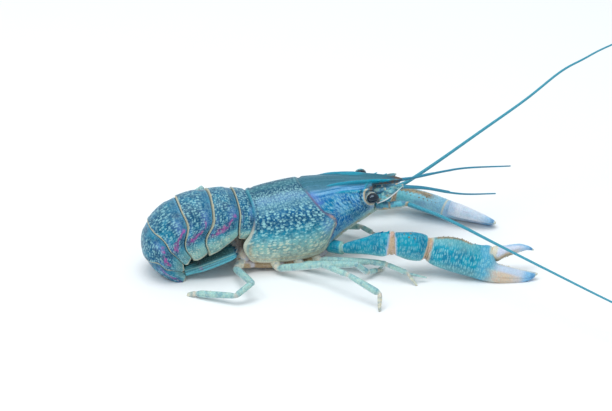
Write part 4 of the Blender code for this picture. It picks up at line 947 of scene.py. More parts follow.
def tail_grid(at, swell, lift=0.0, shift=0.0):
    """Cross-sections of the abdomen at many places: up the right flap and over the back to the left one, then
    down the inside of the left flap, along the flat underside and up the inside of the right one. Gives the
    points and their shares of the height."""
    at = np.asarray(at, float)
    back_x, back_z, tip_x, tip_z, half, floor, low_bow, high_bow = curve(TAIL_PLANES, at).T[..., None]
    swell, lift, shift = (np.broadcast_to(np.asarray(v, float), at.shape)[:, None] for v in (swell, lift, shift))
    rise = np.stack([back_x - tip_x, 0 * tip_x, back_z - tip_z], -1)
    plain = np.linalg.norm(rise, axis=-1)
    rise = rise / plain[..., None]
    along = np.cross(rise, (0, 1, 0))
    tip = np.stack([tip_x, 0 * tip_x, tip_z], -1) + rise * lift[..., None]
    wide = half + swell

    def narrowed(share):
        return 1 - 0.26 * (1 - share / WIDEST_AT) ** 2
    low = np.linspace(0, WIDEST_AT, FLAP_ROWS)
    theta = np.linspace(0, np.pi / 2, FLAP_ROWS + 14)[1:]
    shares = np.concatenate([low, WIDEST_AT + (1 - WIDEST_AT) * np.sin(theta) ** (2 / 2.3)])
    y = wide * np.concatenate([narrowed(low), np.cos(theta)])
    sole = np.maximum(1 - floor, -0.3)
    inner = wide * narrowed(np.maximum(sole, 0)) - PLEURON_THICKNESS
    lip = wide * 0.74 - PLEURON_THICKNESS * 0.6
    step = np.linspace(0, 1, FLAP_STEPS)
    flap_y, flap_share = lip + (inner - lip) * step, sole * step
    flat_y = inner * np.linspace(1, -1, FLAT_STEPS + 2)[1:-1]
    share = np.concatenate([np.broadcast_to(shares, y.shape), np.broadcast_to(shares[-2::-1], y[:, 1:].shape),
                            flap_share, np.broadcast_to(sole, flat_y.shape), flap_share[:, ::-1]], 1)
    side = np.concatenate([y, -y[:, -2::-1], -flap_y, -flat_y, flap_y[:, ::-1]], 1)
    up = share * (plain + swell - lift)
    level = (up + lift) / plain
    bow = low_bow * hump(level, LOW_BOW_AT, LOW_BOW_AT) + high_bow * hump(level, HIGH_BOW_AT, HIGH_BOW_REACH)
    grid = tip + rise * up[..., None] + along * (shift + bow)[..., None]
    grid[..., 1] += side
    return on_floor(grid), share


def plate_marks(number, points, run, share):
    """Tones of a tail plate: teal and ink, paler flaps, painted lavender highlights high on the plate, a magenta
    streak down each side and a pale band behind.
    run goes from the front edge to the rear one."""
    def spots(size, seed, low, high):
        return patches(points, size, number + seed, low, high)

    def swing(size, seed):
        return noise(points, size, number + seed) - 0.5
    wob = 1.6 * swing(1.6, 0) + 0.7 * swing(0.6, 9)
    pale = 0.85 if number in (0, 1, 2) else 0.4
    tint = layers(
        "teal", ("ink", 0.3 * ease(share, 0.2, 0.5)), ("turquoise", 0.4 * spots(2.6, 3, 0.45, 0.7)),
        ("ink", 0.65 * spots(2.0, 13, 0.4, 0.7)),
        # The two lavender coats high on the plate, at its front third and before its rear band, are painted
        # highlights.
        ("lavender", 0.45 * hump(run, 0.3, 0.25) * ease(share, 0.55, 0.7) * ease(share, 0.92, 0.8)),
        ("lavender", 0.45 * hump(run, 0.84, 0.1) * hump(share, 0.62, 0.24)),
        ("haze", 0.3 * ease(share, 0.88, 0.98)),
        ("aqua", pale * ease(share, 0.44, 0.24)), ("sage", pale * ease(share, 0.38, 0.18)))
    streak = 0 * run
    if number > 0:
        path = 10 * (0.22 + 0.36 * ease(share, 0.70, 0.42))
        wander = 2.4 * swing(1.3, 21) + 1.4 * swing(0.5, 31)
        streak = (hump(run * 10 + wob + wander, path, 1.5) * ease(share, 0.38, 0.44)
                  * ease(share, 0.76, 0.68))
        patch = hump(run * 10 + wob, path + 1.8, 2.4) * hump(share + 0.03 * wob, 0.50, 0.16)
        tint = layers(tint, ("magenta", 0.62 * streak * spots(0.9, 5, 0.2, 0.5)),
                      ("plum", 0.8 * patch * spots(0.9, 6, 0.3, 0.6)),
                      ("magenta", 0.6 * patch * spots(0.6, 8, 0.5, 0.7)))
        streak = np.maximum(streak, patch * 0.6)
    band = ease(run * 10 + 0.15 * wob, 9.35, 9.5)
    edge = ease(share, 0.06, 0.03)
    tint = layers(tint, ("ink", 0.5 * hump(run, 0.925, 0.03)), ("band", 0.85 * band),
                  ("beige", 0.35 * band * noise(points, 1.0, 7)), ("cream", 0.85 * edge),
                  ("sky", 0.4 * ease(run, 0.10, 0.02)))
    dots = (1 - band) * (1 - edge) * (1 - 0.8 * ease(run, 0.32, 0.24)) * (1 - 0.7 * streak)
    return {"tint": tint, "dots": 0.95 * dots, "net": 0.4 * (1 - band) * (1 - streak)}


def make_abdomen():
    """Six overlapping plates over a core of soft skin."""
    run = np.unique(np.concatenate([np.linspace(0, 1, 52), [0.01, 0.02, 0.985, 0.992, 0.997]]))
    swell, lift = curve(PLATE_PROFILE, run).T
    shift = 0.12 * ease(run, 0.1, 0.0) - 0.12 * ease(run, 0.9, 1.0)
    for number in range(6):
        grid, share = tail_grid(number + run, swell, lift if number < 5 else 0, shift)
        inside = np.arange(share.shape[1]) >= share.shape[1] - (2 * FLAP_STEPS + FLAT_STEPS)

        def look(points, *_):
            marks = plate_marks(number, points, np.repeat(run[:, None], len(inside), 1), share)
            tint = layers(marks["tint"], ("cream", 0.75 * inside))
            return {"tint": tint, "dots": marks["dots"] * ~inside, "net": marks["net"]}
        piece = Piece(f"plate_abdomen_{number + 1}").add(grid, look, seam=0)
        piece.make(PLATE, f"abdomen_{number + 1}")
    core, _ = tail_grid(np.linspace(0.1, 5.85, 140), -0.95, lift=1.2)
    core_look = look_of("haze", lambda *_: (("dark", 0.35),), net=0.3)
    Piece("skin_abdomen").add(core, core_look).make(SOFT, slot="soft_joint")


# Tail fan

def blade_axes(size, side):
    """The direction of a tail blade and the direction out of its upper face."""
    spread, roll = size[3] * side, size[4] * side
    forward = np.array((math.cos(FAN_RISE) * math.cos(spread), math.sin(spread),
                        math.sin(FAN_RISE) * math.cos(spread)))
    normal = np.array((-math.sin(FAN_RISE), 0, math.cos(FAN_RISE)))
    normal = unit(normal - forward * (normal @ forward))
    return forward, np.array(Matrix.Rotation(roll, 3, Vector(forward)) @ Vector(normal))


def make_blade(name, root, size, side=1, ribs=(0.0,)):
    """A flat tail blade with raised ribs, fine ones towards its end, and a fringe of short hairs."""
    forward, normal = blade_axes(size, side)
    length, width, root_width = size[:3]
    across = np.cross(forward, normal)
    run = np.concatenate([np.linspace(0, 0.9, 56), 0.9 + 0.1 * np.sin(np.linspace(0.06, 1, 16) * np.pi / 2)])
    wide, thick = curve(BLADE_SHAPE, run, steady=True).T[..., None]
    run = run[:, None]
    half = root_width + (width - root_width) * wide
    u, v = section(72, 0.8)
    rib = sum(0.16 * hump(u, centre, 0.12) * (v > 0) * ease(run, 0.98, 0.7) for centre in ribs)
    fine = 0.045 * np.cos(u * half * 2 * np.pi / 0.62) * ease(run, 0.55, 0.75) * (np.abs(v) > 0.3)
    seam = -0.14 * hump(run, 0.66, 0.022) if len(ribs) == 1 else 0.0
    height = thick * BLADE_THICKNESS / 2 * v + rib + (fine + seam) * np.sign(v)
    grid = root + forward * (length * run)[..., None] + across * (half * u)[..., None] + normal * height[..., None]

    def coats(points, *_):
        ribs_at = np.cos(u * half * 2 * np.pi / 0.8 + 1.5 * noise(points, 3.0, 2))
        outward = -side * u
        outer = float("outer" in name)
        return (("aqua", 0.75 * ease(ribs_at, 0.1, 0.9)), ("ink", 0.45 * ease(-ribs_at, 0.2, 0.9)),
                ("turquoise", 0.4 * ease(run, 0.5, 0.9)),
                ("magenta", 0.35 * hump(run, 0.30, 0.06) * patches(points, 1.0, 8, 0.5, 0.8)),
                ("moss", 0.85 * outer * ease(outward, 0.25, -0.05) * ease(run, 0.10, 0.25)),
                ("sage", 0.8 * outer * hump(outward, 0.3, 0.12)),
                ("aqua", 0.8 * ease(np.abs(u), 0.88, 0.97)), ("ink", 0.6 * ease(run, 0.95, 0.99)))
    piece = Piece("fan_" + name).add(on_floor(grid), look_of("fan", coats, dots=0.1, net=0.2))
    w = np.linspace(-0.96, 0.96, 60)[:, None]
    share = 0.72 + 0.285 * np.cos(w * np.pi / 2) ** 0.5
    wide = curve(BLADE_SHAPE, np.minimum(share[:, 0], 1.0), steady=True)[:, :1]
    edge = (root_width + (width - root_width) * wide) * np.abs(w) ** 0.5 * np.sign(w)
    feet = root + forward * length * np.minimum(share, 0.995) + across * edge
    reach = 1.1 + 0.3 * np.sin(np.arange(60) * 2.4)[:, None]
    piece.hairs(feet, feet + unit(forward + across * 0.5 * w) * reach, "slate", FRINGE_RADIUS)
    piece.make(PLATE, name)


def make_tail_fan():
    make_blade("telson", FAN_ROOT, TELSON_SIZE, ribs=(-0.42, 0.42))
    for tag, side in SIDES:
        for which, root, size in (("inner", INNER_ROOT, INNER_SIZE), ("outer", OUTER_ROOT, OUTER_SIZE)):
            make_blade(f"uropod_{tag}_{which}", FAN_ROOT + np.array(root) * (1, side, 1), size, side)


# Eyes

def make_eyes():
    """Each eye with its stalk, which ends in a hood behind the eye."""
    stalk_look = look_of("haze", lambda p, share, turn: (
        ("teal", 0.5 * noise(p, 1.0, 3)), ("brown", 0.7 * patches(p, 0.9, 9, 0.4, 0.7) * ease(share, 0.5, 0.7)),
        ("cream", 0.8 * ease(share, 0.90, 0.97))), net=0.5, dots=0.3)
    hood_look = look_of("ridge", lambda p, share, turn: (
        ("brown", 0.7 * patches(p, 0.8, 19, 0.4, 0.6)), ("aqua", 0.5 * patches(p, 0.7, 20, 0.55, 0.7))), net=0.4)
    for tag, side in SIDES:
        flip, pole = np.array((1, side, 1)), (0.25, side, 0.1)
        centre = EYE_CENTRE * flip + (0, 0, EYE_LIFTS[tag])
        Piece(f"eyeball_{tag}").add(ball(centre, EYE_RADII, pole), look_of("dark")).make(EYE, f"eye_{tag}")
        foot, end = (41.0, 3.4, 23.3) * flip, centre - (0.25, 0.8, 0.15) * flip
        rows = stations((foot, 1.3), (foot * 0.55 + end * 0.45, 1.75, 1.6), (foot * 0.2 + end * 0.8, 2.2, 1.9),
                        (end, 2.28, 1.95))
        hood = ball(centre + HOOD_SHIFTS[tag] * flip, np.array(EYE_RADII) * HOOD_SIZE, pole)
        piece = Piece(f"stalk_eye_{tag}").add(tube(rows, rows=40, sides=40, dome=0.12), stalk_look)
        piece.add(hood, hood_look).make(LIMB, f"eye_stalk_{tag}")


# Limbs

def half_bend(joints, at):
    """Tangent of half the angle by which a limb bends at a joint."""
    if at in (0, len(joints) - 1):
        return 0.0
    cosine = float(unit(joints[at] - joints[at - 1]) @ unit(joints[at + 1] - joints[at]))
    return math.tan(math.acos(max(-1.0, min(1.0, cosine))) / 2)


def cut_plane(joints, at):
    """The direction of the plane that halves the bend at a joint."""
    return unit(unit(joints[at] - joints[at - 1]) + unit(joints[at + 1] - joints[at]))


def leg_stations(joints, radii, first, last):
    """Stations along a limb from one joint to another, each segment drawn in at its ends."""
    rows = []
    for i in range(first, last):
        step = joints[i + 1] - joints[i]
        length = np.linalg.norm(step)
        start, end = radii[i]
        lead, tail = (min(max(0.14 * length, radius * half_bend(joints, at) + GAP) / length, 0.45)
                      for radius, at in ((start, i), (end, i + 1)))
        waist = 0.8 * (min(start, radii[i - 1][1]) if i > first else start)
        rows += [(joints[i] + step * share, r) for share, r in ((0.0, waist), (lead, start), (1 - tail, end))]
    return stations(*rows, (joints[last], radii[last - 1][1] * 0.8))


def limb_look(stations, joints, tones, seed):
    """Tones of a limb: one for each segment, rosy at the joints, paler below and mottled."""
    run = run_along(stations[:, :3])

    def look(points, share, turn):
        away = np.linalg.norm(points.mean(1)[:, None] - joints[None], axis=2).min(1)[:, None]
        top = top_of(turn)
        joint = np.exp(-(away / 0.55) ** 2)
        starts = run[3::3]
        steps = [(name, ease(share * run[-1], start - 0.3, start + 0.3))
                 for start, name in zip(starts, tones[1:])]
        tint = layers(
            tones[0], *steps, ("turquoise", 0.22 * ease(top, 0.2, 0.9) * patches(points, 2.2, seed, 0.35, 0.65)),
            ("white", 0.45 * ease(-top, 0.0, 0.9)), ("haze", 0.4 * patches(points, 1.1, seed + 2, 0.55, 0.8)),
            ("rose", 0.35 * joint), ("cream", 0.35 * joint),
            ("teal", 0.28 * np.exp(-((away - 1.25) / 0.4) ** 2)))
        return {"tint": tint, "net": 0.5 * (1 - joint), "dots": 0.25 * (1 - joint)}
    return look


soft_look = look_of("peach", lambda p, share, turn: (
    ("beige", 0.6 * noise(p, 0.9, 5)), ("rose", 0.5 * patches(p, 1.6, 25, 0.45, 0.7)),
    ("brown", 0.45 * patches(p, 0.55, 26, 0.68, 0.85))), net=0.4)
knee_look = look_of("leg", lambda p, share, turn: (("haze", 0.6 * noise(p, 0.9, 5)),), net=0.4)


def hair_line(piece, rows, count, seed, length):
    """Sparse short hairs along the outer half of a limb."""
    rng = np.random.default_rng(seed)
    _, spots, wide, _ = dense(rows, 80)
    along = unit(np.gradient(spots, axis=0))
    pick = rng.integers(8, len(spots) - 4, count)
    way = unit(rng.normal(size=(count, 3)))
    way = unit(way - along[pick] * (way * along[pick]).sum(1, keepdims=True))
    feet = spots[pick] + way * (wide[pick] * 0.93)[:, None]
    feet[:, 2] = np.maximum(feet[:, 2], HAIR_HEIGHT)
    tips = feet + unit(way * 0.8 + along[pick]) * (length * rng.uniform(0.6, 1.1, count))[:, None]
    tips[:, 2] = np.maximum(tips[:, 2], HAIR_HEIGHT)
    piece.hairs(feet, tips, "beige")


def make_leg(tag, joints):
    """A walking leg as two pieces. Gives the soft joint between them."""
    joints = np.array(joints)
    radii = list(LEG_RADII)
    seed = sum(ord(letter) for letter in tag)
    if tag not in PINCER_TIPS:
        radii[3] = BROAD_SEGMENT
    radii[4] = BLUNT_TIPS.get(tag, radii[4])
    knee = cut_plane(joints, 2)
    upper = leg_stations(joints, radii, 0, 2)
    upper[-1, :3] -= knee * (GAP / 2)
    piece = Piece(f"leg_{tag}_thigh")
    piece.add(tube(upper, rows=90, sides=32, ends=(None, knee)),
              limb_look(upper, joints[1:2], ("cream", "leg"), seed))
    hair_line(piece, upper, 16, seed, 0.9)
    piece.make(LIMB, f"leg_{tag}_upper")

    lower = leg_stations(joints, radii, 2, 5)
    lower[0, :3] += knee * (GAP / 2)
    lower[-1, 3:] *= 0.55
    piece = Piece(f"leg_{tag}_shank")
    piece.add(tube(lower, rows=110, sides=32, ends=(knee, None)),
              limb_look(lower, joints[3:5], ("leg", "leg", "cream"), seed + 4))
    if tag in PINCER_TIPS:
        palm, ahead = joints[4], unit(joints[4] - joints[3])
        tip = joints[5] + PINCER_TIPS[tag]
        rows = stations((palm - ahead * 1.2, 0.4), (palm + ahead * 0.2, 0.5),
                        ((palm + tip) / 2 + ahead * 0.3, 0.42), (tip, 0.2))
        piece.add(tube(rows, rows=30, sides=18), limb_look(rows, joints[4:5], ("leg", "cream"), seed + 6))
    hair_line(piece, lower, 30, seed + 1, 0.8)
    piece.make(LIMB, f"leg_{tag}_lower")

    along = unit(joints[3] - joints[1])
    radius = radii[1][1] * 0.78
    rows = stations((joints[2] - along * 0.9, radius), (joints[2], radius * 1.05),
                    (joints[2] + along * 0.9, radius))
    return tube(rows, rows=14, sides=24, dome=0.5)


# Claws and their arms

class Claw:
    """The joints of an arm and the directions of its claw: along it, mesial towards the other claw, and flat
    through its thickness. planes are where its segments part."""

    def __init__(self, tag, side):
        self.tag, self.side, self.left = tag, side, float(tag == "L")
        self.joints = np.array(ARM_JOINTS[tag])
        self.planes = [None, *(cut_plane(self.joints, i) for i in (1, 2, 3))]
        self.rng = np.random.default_rng(CLAW_SEED[tag])
        self.wrist, tip = self.joints[3:]
        self.length = np.linalg.norm(tip - self.wrist)
        self.along = unit(tip - self.wrist)
        mesial = np.array((0, -side * math.cos(CLAW_ROLL[tag]), math.sin(CLAW_ROLL[tag])))
        self.mesial = unit(mesial - self.along * (mesial @ self.along))
        self.flat = np.cross(self.along, self.mesial)

    def at(self, share, mesial):
        """Points at shares of the claw's length and distances towards the mesial side."""
        return (self.wrist + self.along * (self.length * np.asarray(share))[..., None]
                + self.mesial * np.asarray(mesial)[..., None])

    def read(self, points):
        """The share of the length, the mesial distance, the flat distance and an uneven swing of points."""
        away = points - self.wrist
        swing = noise(points, 2.2, 11) - 0.5
        return away @ self.along / self.length, away @ self.mesial, away @ self.flat, swing

    def grid(self, table, shares, sides, relief):
        """Grid round the claw through rows of (share, mesial edge, outer edge, half thickness)."""
        near, far, half = curve(table, shares, steady=True).T[..., None]
        turn = 2 * np.pi * np.arange(sides) / sides
        c, s = np.cos(turn), np.sin(turn)
        grow = relief(shares[:, None], turn)
        thick = half * np.sign(s) * np.abs(s) ** 0.85 + grow * s
        wide = (near + far) / 2 * c + grow * c
        return (self.at(shares[:, None], (near - far) / 2)
                + self.mesial * wide[..., None] + self.flat * thick[..., None])

    def segment(self, number, shape, look, rows, sides):
        """Stations of an arm segment, and its grid with its look."""
        start, end = self.joints[number:number + 2]
        before, after = self.planes[number:number + 2]
        spots = stations(*((start + (end - start) * share, wide, high) for share, wide, high in shape))
        if before is not None:
            spots[0, :3] += before * (GAP / 2)
        spots[-1, :3] -= after * (GAP / 2)
        piece = Piece(f"arm_{self.tag}_{ARM_PIECES[number]}")
        return spots, piece.add(tube(spots, rows=rows, sides=sides, ends=(before, after)), look)


def arm_look(seed, bands, slant=0.0):
    """Tones of an arm segment: turquoise with a pale net, bands of (from, to, tone) and a paler underside."""
    def look(points, share, turn):
        top = top_of(turn)
        band, rings = 0 * share, []
        swing = 0.05 * (noise(points, 1.2, seed + 1) - 0.5)
        for low, high, name in bands:
            at = share + swing + slant * top * (1 if low < 0.5 else -1)
            amount = ease(at, low - 0.012, low + 0.012) * ease(at, high + 0.012, high - 0.012)
            rings.append((name, 0.9 * amount))
            band = np.maximum(band, amount)
        tint = layers(
            "turquoise", ("teal", 0.4 * patches(points, 2.4, seed, 0.45, 0.7)),
            ("aqua", 0.4 * ease(-top, -0.1, 0.7)), ("sage", 0.45 * ease(-top, 0.4, 0.95)), *rings,
            ("teal", 0.45 * hump(share, 0.74, 0.16) * ease(top, -0.6, 0.2) * (1 - band)))
        quiet = 1 - 0.45 * ease(top, -0.3, 0.6)
        return {"tint": tint, "net": 0.85 * quiet * (1 - band), "dots": 0.1 * (1 - band)}
    return look


def make_arm(claw):
    """The three segments of an arm with their spines and knobs."""
    tag, side, joints = claw.tag, claw.side, claw.joints
    _, piece = claw.segment(0, ARM_BASE_SHAPE, arm_look(3, ((0.93, 1.01, "sage"),)), 50, 40)
    piece.make(LIMB, f"arm_{tag}_base")

    look = arm_look(7, ((0.905, 1.05, "mist"), (0.935, 1.05, "peach")), 0.04)
    merus, piece = claw.segment(1, MERUS_SHAPE, look, 120, 64)
    axis = joints[2] - joints[1]
    for share, height, ahead, up, radius, name in MERUS_SPINES:
        foot = joints[1] + axis * share + (0, 0, height)
        piece.add(spine_grid(foot, foot + axis * ahead + (0, 0, up), radius), look_of(name))
    _, spots, wide, high = dense(merus, 120)
    picks = np.linspace(20, 122, 13).astype(int)
    feet = spots[picks] + np.outer(high[picks], (0, 0, 0.93)) + np.outer(wide[picks], (0, 0.15 * side, 0))
    piece.knobs(feet, (0.4, 0, 1), claw.rng.uniform(0.2, 0.32, len(picks)), "teal")
    piece.make(CLAW, f"arm_{tag}_merus")

    bands = ((-0.05, 0.12, "mist"), (-0.05, 0.09, "peach"), (0.88, 1.05, "peach"), (0.955, 1.05, "beige"))
    carpus, piece = claw.segment(2, CARPUS_SHAPE, arm_look(12, bands, 0.035), 110, 64)
    axis = joints[3] - joints[2]
    foot, tip, radius = CARPUS_SPINE
    middle, inward = joints[2] + axis * 0.55, np.array((1, -side, 1))
    piece.add(spine_grid(middle + foot * inward, middle + tip * inward, radius), look_of("olive"))
    _, spots, wide, high = dense(carpus, 110)
    share, turn = np.array(CARPUS_KNOBS).T
    picks = (share * (len(spots) - 1)).astype(int)
    up = np.outer(np.sin(np.radians(turn)), (0, 0, 1))
    across = np.outer(np.cos(np.radians(turn)), unit(np.cross(axis, (0, 0, 1))) * side)
    feet = spots[picks] + 0.97 * (up * high[picks, None] + across * wide[picks, None])
    piece.knobs(feet, up + across + (0.35, 0, 0), 0.34 + 0.1 * np.sin(np.arange(len(feet))), "olive")
    piece.make(CLAW, f"arm_{tag}_carpus")


def palm_look(claw):
    """Tones of a palm and its fixed finger: turquoise, then frost and blue at the tip, with a peach patch on the
    outer edge and an olive crest."""
    def look(points, *_):
        s, m, f, swing = claw.read(points)
        at, reach, low, high, slant = HINGE_LINES[claw.tag]
        hinge = hump(s + slant * f, at, reach) * ease(m, low, high)
        ahead = claw.left * ease(s + slant * f, 0.508, 0.516) * ease(m, low, high)
        lean, (start, width) = CREST_LEAN[claw.tag], CREST_REACH[claw.tag]
        ridge = m * math.cos(lean) + f * math.sin(lean)
        across = f * math.cos(lean) - m * math.sin(lean)
        crest = (ease(ridge, start, start + 0.6) * ease(np.abs(across + 0.7 * swing), width, width - 0.5)
                 * ease(s, 0.03, 0.07) * ease(s, 0.42, 0.32))
        tint = layers(
            "turquoise", ("aqua", 0.95 * claw.left * ease(m, -2.0, 1.0)),
            ("teal", 0.5 * ease(swing, 0.0, 0.2) * ease(s, 0.5, 0.4)),
            ("teal", 0.5 * ease(-m, 2.6, 4.2) * ease(s, 0.12, 0.2) * ease(s, 0.5, 0.38)),
            ("sage", (0.35 - 0.25 * claw.left) * ease(m + 2 * swing, 0.5, 3.5) * ease(s, 0.5, 0.35)),
            ("mist", 0.55 * claw.left * ease(s + 0.1 * swing, 0.0, 0.46)),
            ("sky", 0.5 * hump(s + 0.06 * swing, 0.52, 0.10)),
            ("frost", 0.80 * ease(s + 0.06 * swing, 0.54, 0.68)),
            ("sage", 0.35 * ease(-m, 3.0, 5.4) * ease(s, 0.6, 0.4)),
            ("peach", 0.95 * hump(s + 0.05 * swing, 0.71, 0.19) ** 0.5 * ease(-m, 1.6, 2.8)),
            ("pale_blue", 0.85 * ease(s, 0.84, 0.92)), ("blue", 0.4 * hump(s, 0.96, 0.04)),
            ("cream", 0.9 * ease(s, 0.972, 0.99)), ("peach", 0.85 * ease(s, 0.045, 0.02)),
            ("cream", 0.6 * ease(m, 0.0, 0.7) * ease(s, 0.62, 0.66)), ("mist", 0.85 * ahead),
            ("cream", 0.9 * hinge), ("olive", 0.85 * crest),
            ("beige", 0.5 * crest * patches(points, 0.8, 3, 0.5, 0.7)))
        plain = np.maximum(crest, hinge)
        net = 0.95 * ease(s, 0.72, 0.55) * (1 - plain) + 0.3 * ease(s, 0.55, 0.72)
        net = net * (1 - 0.4 * ease(m, -0.5, 2.5))
        return {"tint": tint, "dots": 0.08 * (1 - plain) * ease(s, 0.7, 0.5), "net": net}
    return look


def finger_look(claw):
    """Tones of a movable finger: frost with a blue outer edge and tip, beige towards its teeth."""
    def coats(points, *_):
        s, m, f, swing = claw.read(points)
        inner, outer, _ = np.moveaxis(curve(MOVING_FINGER[claw.tag], s), -1, 0)
        end = MOVING_FINGER[claw.tag][-1][0]
        return (("pale_blue", (0.7 - 0.25 * claw.left) * ease(m, outer - 1.2, outer - 0.3) * ease(s, 0.62, 0.7)),
                ("white", 0.4 * claw.left), ("mist", 0.75 * claw.left * ease(s + 0.1 * swing, 0.66, 0.54)),
                ("cream", 0.9 * (1 - claw.left) * ease(s, 0.615, 0.59)),
                ("beige", 0.9 * ease(m, inner + 1.9, inner + 0.6) * ease(s, 0.84, 0.70)),
                ("olive", 0.7 * ease(m, inner + 0.9, inner + 0.2) * ease(s, 0.80, 0.70)),
                ("pale_blue", 0.7 * ease(s, end - 0.16, end - 0.04)), ("blue", 0.5 * hump(s, end - 0.03, 0.03)),
                ("cream", 0.9 * ease(s, end - 0.02, end - 0.008)))
    return look_of("frost", coats, dots=0.15, net=0.35)


def make_palm(claw):
    """The palm with its fixed finger, its crest of knobs and its teeth."""
    def relief(s, turn):
        scale = 0.05 * np.sin(s * claw.length * 2 * np.pi / 0.95 + 2.0 * np.sin(turn * 5 + s * 20))
        furrow = -0.22 * hump(np.abs(turn - np.pi), 1.05, 0.14) * ease(s, 0.55, 0.66)
        bulge = 0.14 * hump(s, 0.505, 0.045) * hump(np.cos(turn), 1, 0.6)
        return scale * ease(s, 0.7, 0.5) * (np.abs(np.sin(turn)) > 0.25) + furrow + bulge
    rounded = 0.985 + 0.015 * np.sin(np.linspace(0, 1, 10) * np.pi / 2)
    shares = np.unique(np.concatenate([np.linspace(0.004, 0.985, 170), rounded]))
    grid = claw.grid(PALM + FIXED_FINGER, shares, 72, relief)
    offset = (claw.wrist - grid) @ claw.planes[3] + GAP / 2
    near = ease(shares, 0.05, 0.0)[:, None]
    shift = (np.maximum(offset, 0) + np.minimum(offset, 0) * near) * near
    grid = grid + claw.planes[3] * shift[..., None]
    piece = Piece(f"claw_{claw.tag}_hand").add(on_floor(grid), palm_look(claw), seam=36)

    run = np.linspace(0.07, 0.40, 9)
    for row, apart in enumerate((-0.42, -0.14, 0.14, 0.42)):
        odd, tilt = row % 2, CREST_LEAN[claw.tag] + apart
        near, far, half = curve(PALM, run + 0.012 * odd).T
        out = (near - far) / 2 + (near + far) / 2 * math.cos(tilt) * 0.985
        feet = claw.at(run + 0.018 * odd, out) + np.outer(half * math.sin(tilt) * 0.98, claw.flat)
        way = claw.mesial * math.cos(tilt) + claw.flat * math.sin(tilt) + claw.along * 0.35
        piece.knobs(feet, way, claw.rng.uniform(0.26, 0.46, len(run)) * (1.1 - abs(apart)), "olive")
    k = np.arange(16)
    run = np.linspace(0.655, 0.955, 16)
    sizes = (0.24 + 0.14 * np.abs(np.sin(k * 1.9)) + 0.18 * hump(k, 4, 1.2)) * np.linspace(1, 0.6, 16)
    piece.knobs(claw.at(run, line(FIXED_FINGER, run) - 0.06), claw.mesial, sizes, "cream")
    piece.make(CLAW, f"claw_{claw.tag}_palm")


def make_finger(claw):
    """The movable finger with its teeth and a row of knobs on its outer edge."""
    rows = MOVING_FINGER[claw.tag]
    low, high = rows[0][0], rows[-1][0]

    def relief(s, turn):
        return -0.16 * hump(np.abs(turn - np.pi / 2), 0.5, 0.12) * ease(s, low + 0.06, low + 0.12)
    run = np.concatenate([[0.0, 0.01, 0.03], np.linspace(0.05, 0.985, 110), [0.992, 0.997, 1.0]])
    table = [(share, outer, -inner, half) for share, inner, outer, half in rows]
    grid = claw.grid(table, low + (high - low) * run, 56, relief)
    piece = Piece(f"claw_{claw.tag}_thumb").add(on_floor(grid), finger_look(claw), seam=28)
    k, run = np.arange(13), np.linspace(low + 0.09, high - 0.05, 13)
    sizes = (0.24 + 0.12 * np.abs(np.sin(k * 2.3)) + 0.16 * hump(k, 3, 1.3)) * (1 - 0.03 * k)
    piece.knobs(claw.at(run, curve(rows, run)[:, 0] + 0.06), -claw.mesial, sizes, "cream")
    k, run = np.arange(8), np.linspace(low + 0.05, low + 0.5 * (high - low), 8)
    piece.knobs(claw.at(run, curve(rows, run)[:, 1] - 0.05), claw.mesial + claw.along * 0.4,
                0.26 + 0.08 * np.sin(k * 1.7), "frost")
    piece.make(CLAW, f"claw_{claw.tag}_finger")


def make_arm_skins(claw):
    """The soft membranes inside the joints of an arm and of its claw."""
    skins = Piece(f"skin_arm_{claw.tag}")
    for joint, plane, (wide, high) in zip(claw.joints[1:], claw.planes[1:], MEMBRANE_SIZES):
        rows = stations((joint - plane * 1.1, wide, high), (joint, wide * 1.04, high * 1.04),
                        (joint + plane * 1.1, wide, high))
        fold = tube(rows, rows=40, sides=48, dome=0.3)
        ripple = 0.015 * np.cos(np.arange(len(fold)) * 1.1)[:, None, None]
        first = plane is claw.planes[1]
        skins.add(fold + (fold - fold.mean(1, keepdims=True)) * ripple, knee_look if first else soft_look)
    hinge = claw.at(0.56, 3.7)
    rows = stations((hinge - claw.along * 1.6, 2.0, 1.9), (hinge, 2.1, 2.0), (hinge + claw.along * 1.6, 2.0, 1.9))
    skins.add(tube(rows, claw.flat, rows=16, sides=40, dome=0.5), soft_look)
    skins.make(SOFT, slot="soft_joint")


# Head

def ringed(run, spacing):
    """How far a feeler swells along its run, with a rounded swelling for each of its rings."""
    return 1 + 0.07 * (np.abs(np.cos(run * np.pi / spacing)) ** 0.7 - 0.6)


def feeler_look(light, spacing):
    """Tones of a feeler: dark between its rings and pale below."""
    def coats(points, share, turn):
        ring = np.abs(np.cos(run_along(points.mean(1)) * np.pi / spacing))[:, None]
        return ((light, 0.45 * ease(ring, 0.3, 0.9)), ("ink", 0.4 * ease(ring, 0.3, 0.0)),
                ("white", 0.2 * ease(-top_of(turn), 0, 1)))
    return look_of("whip", coats, net=0.15)


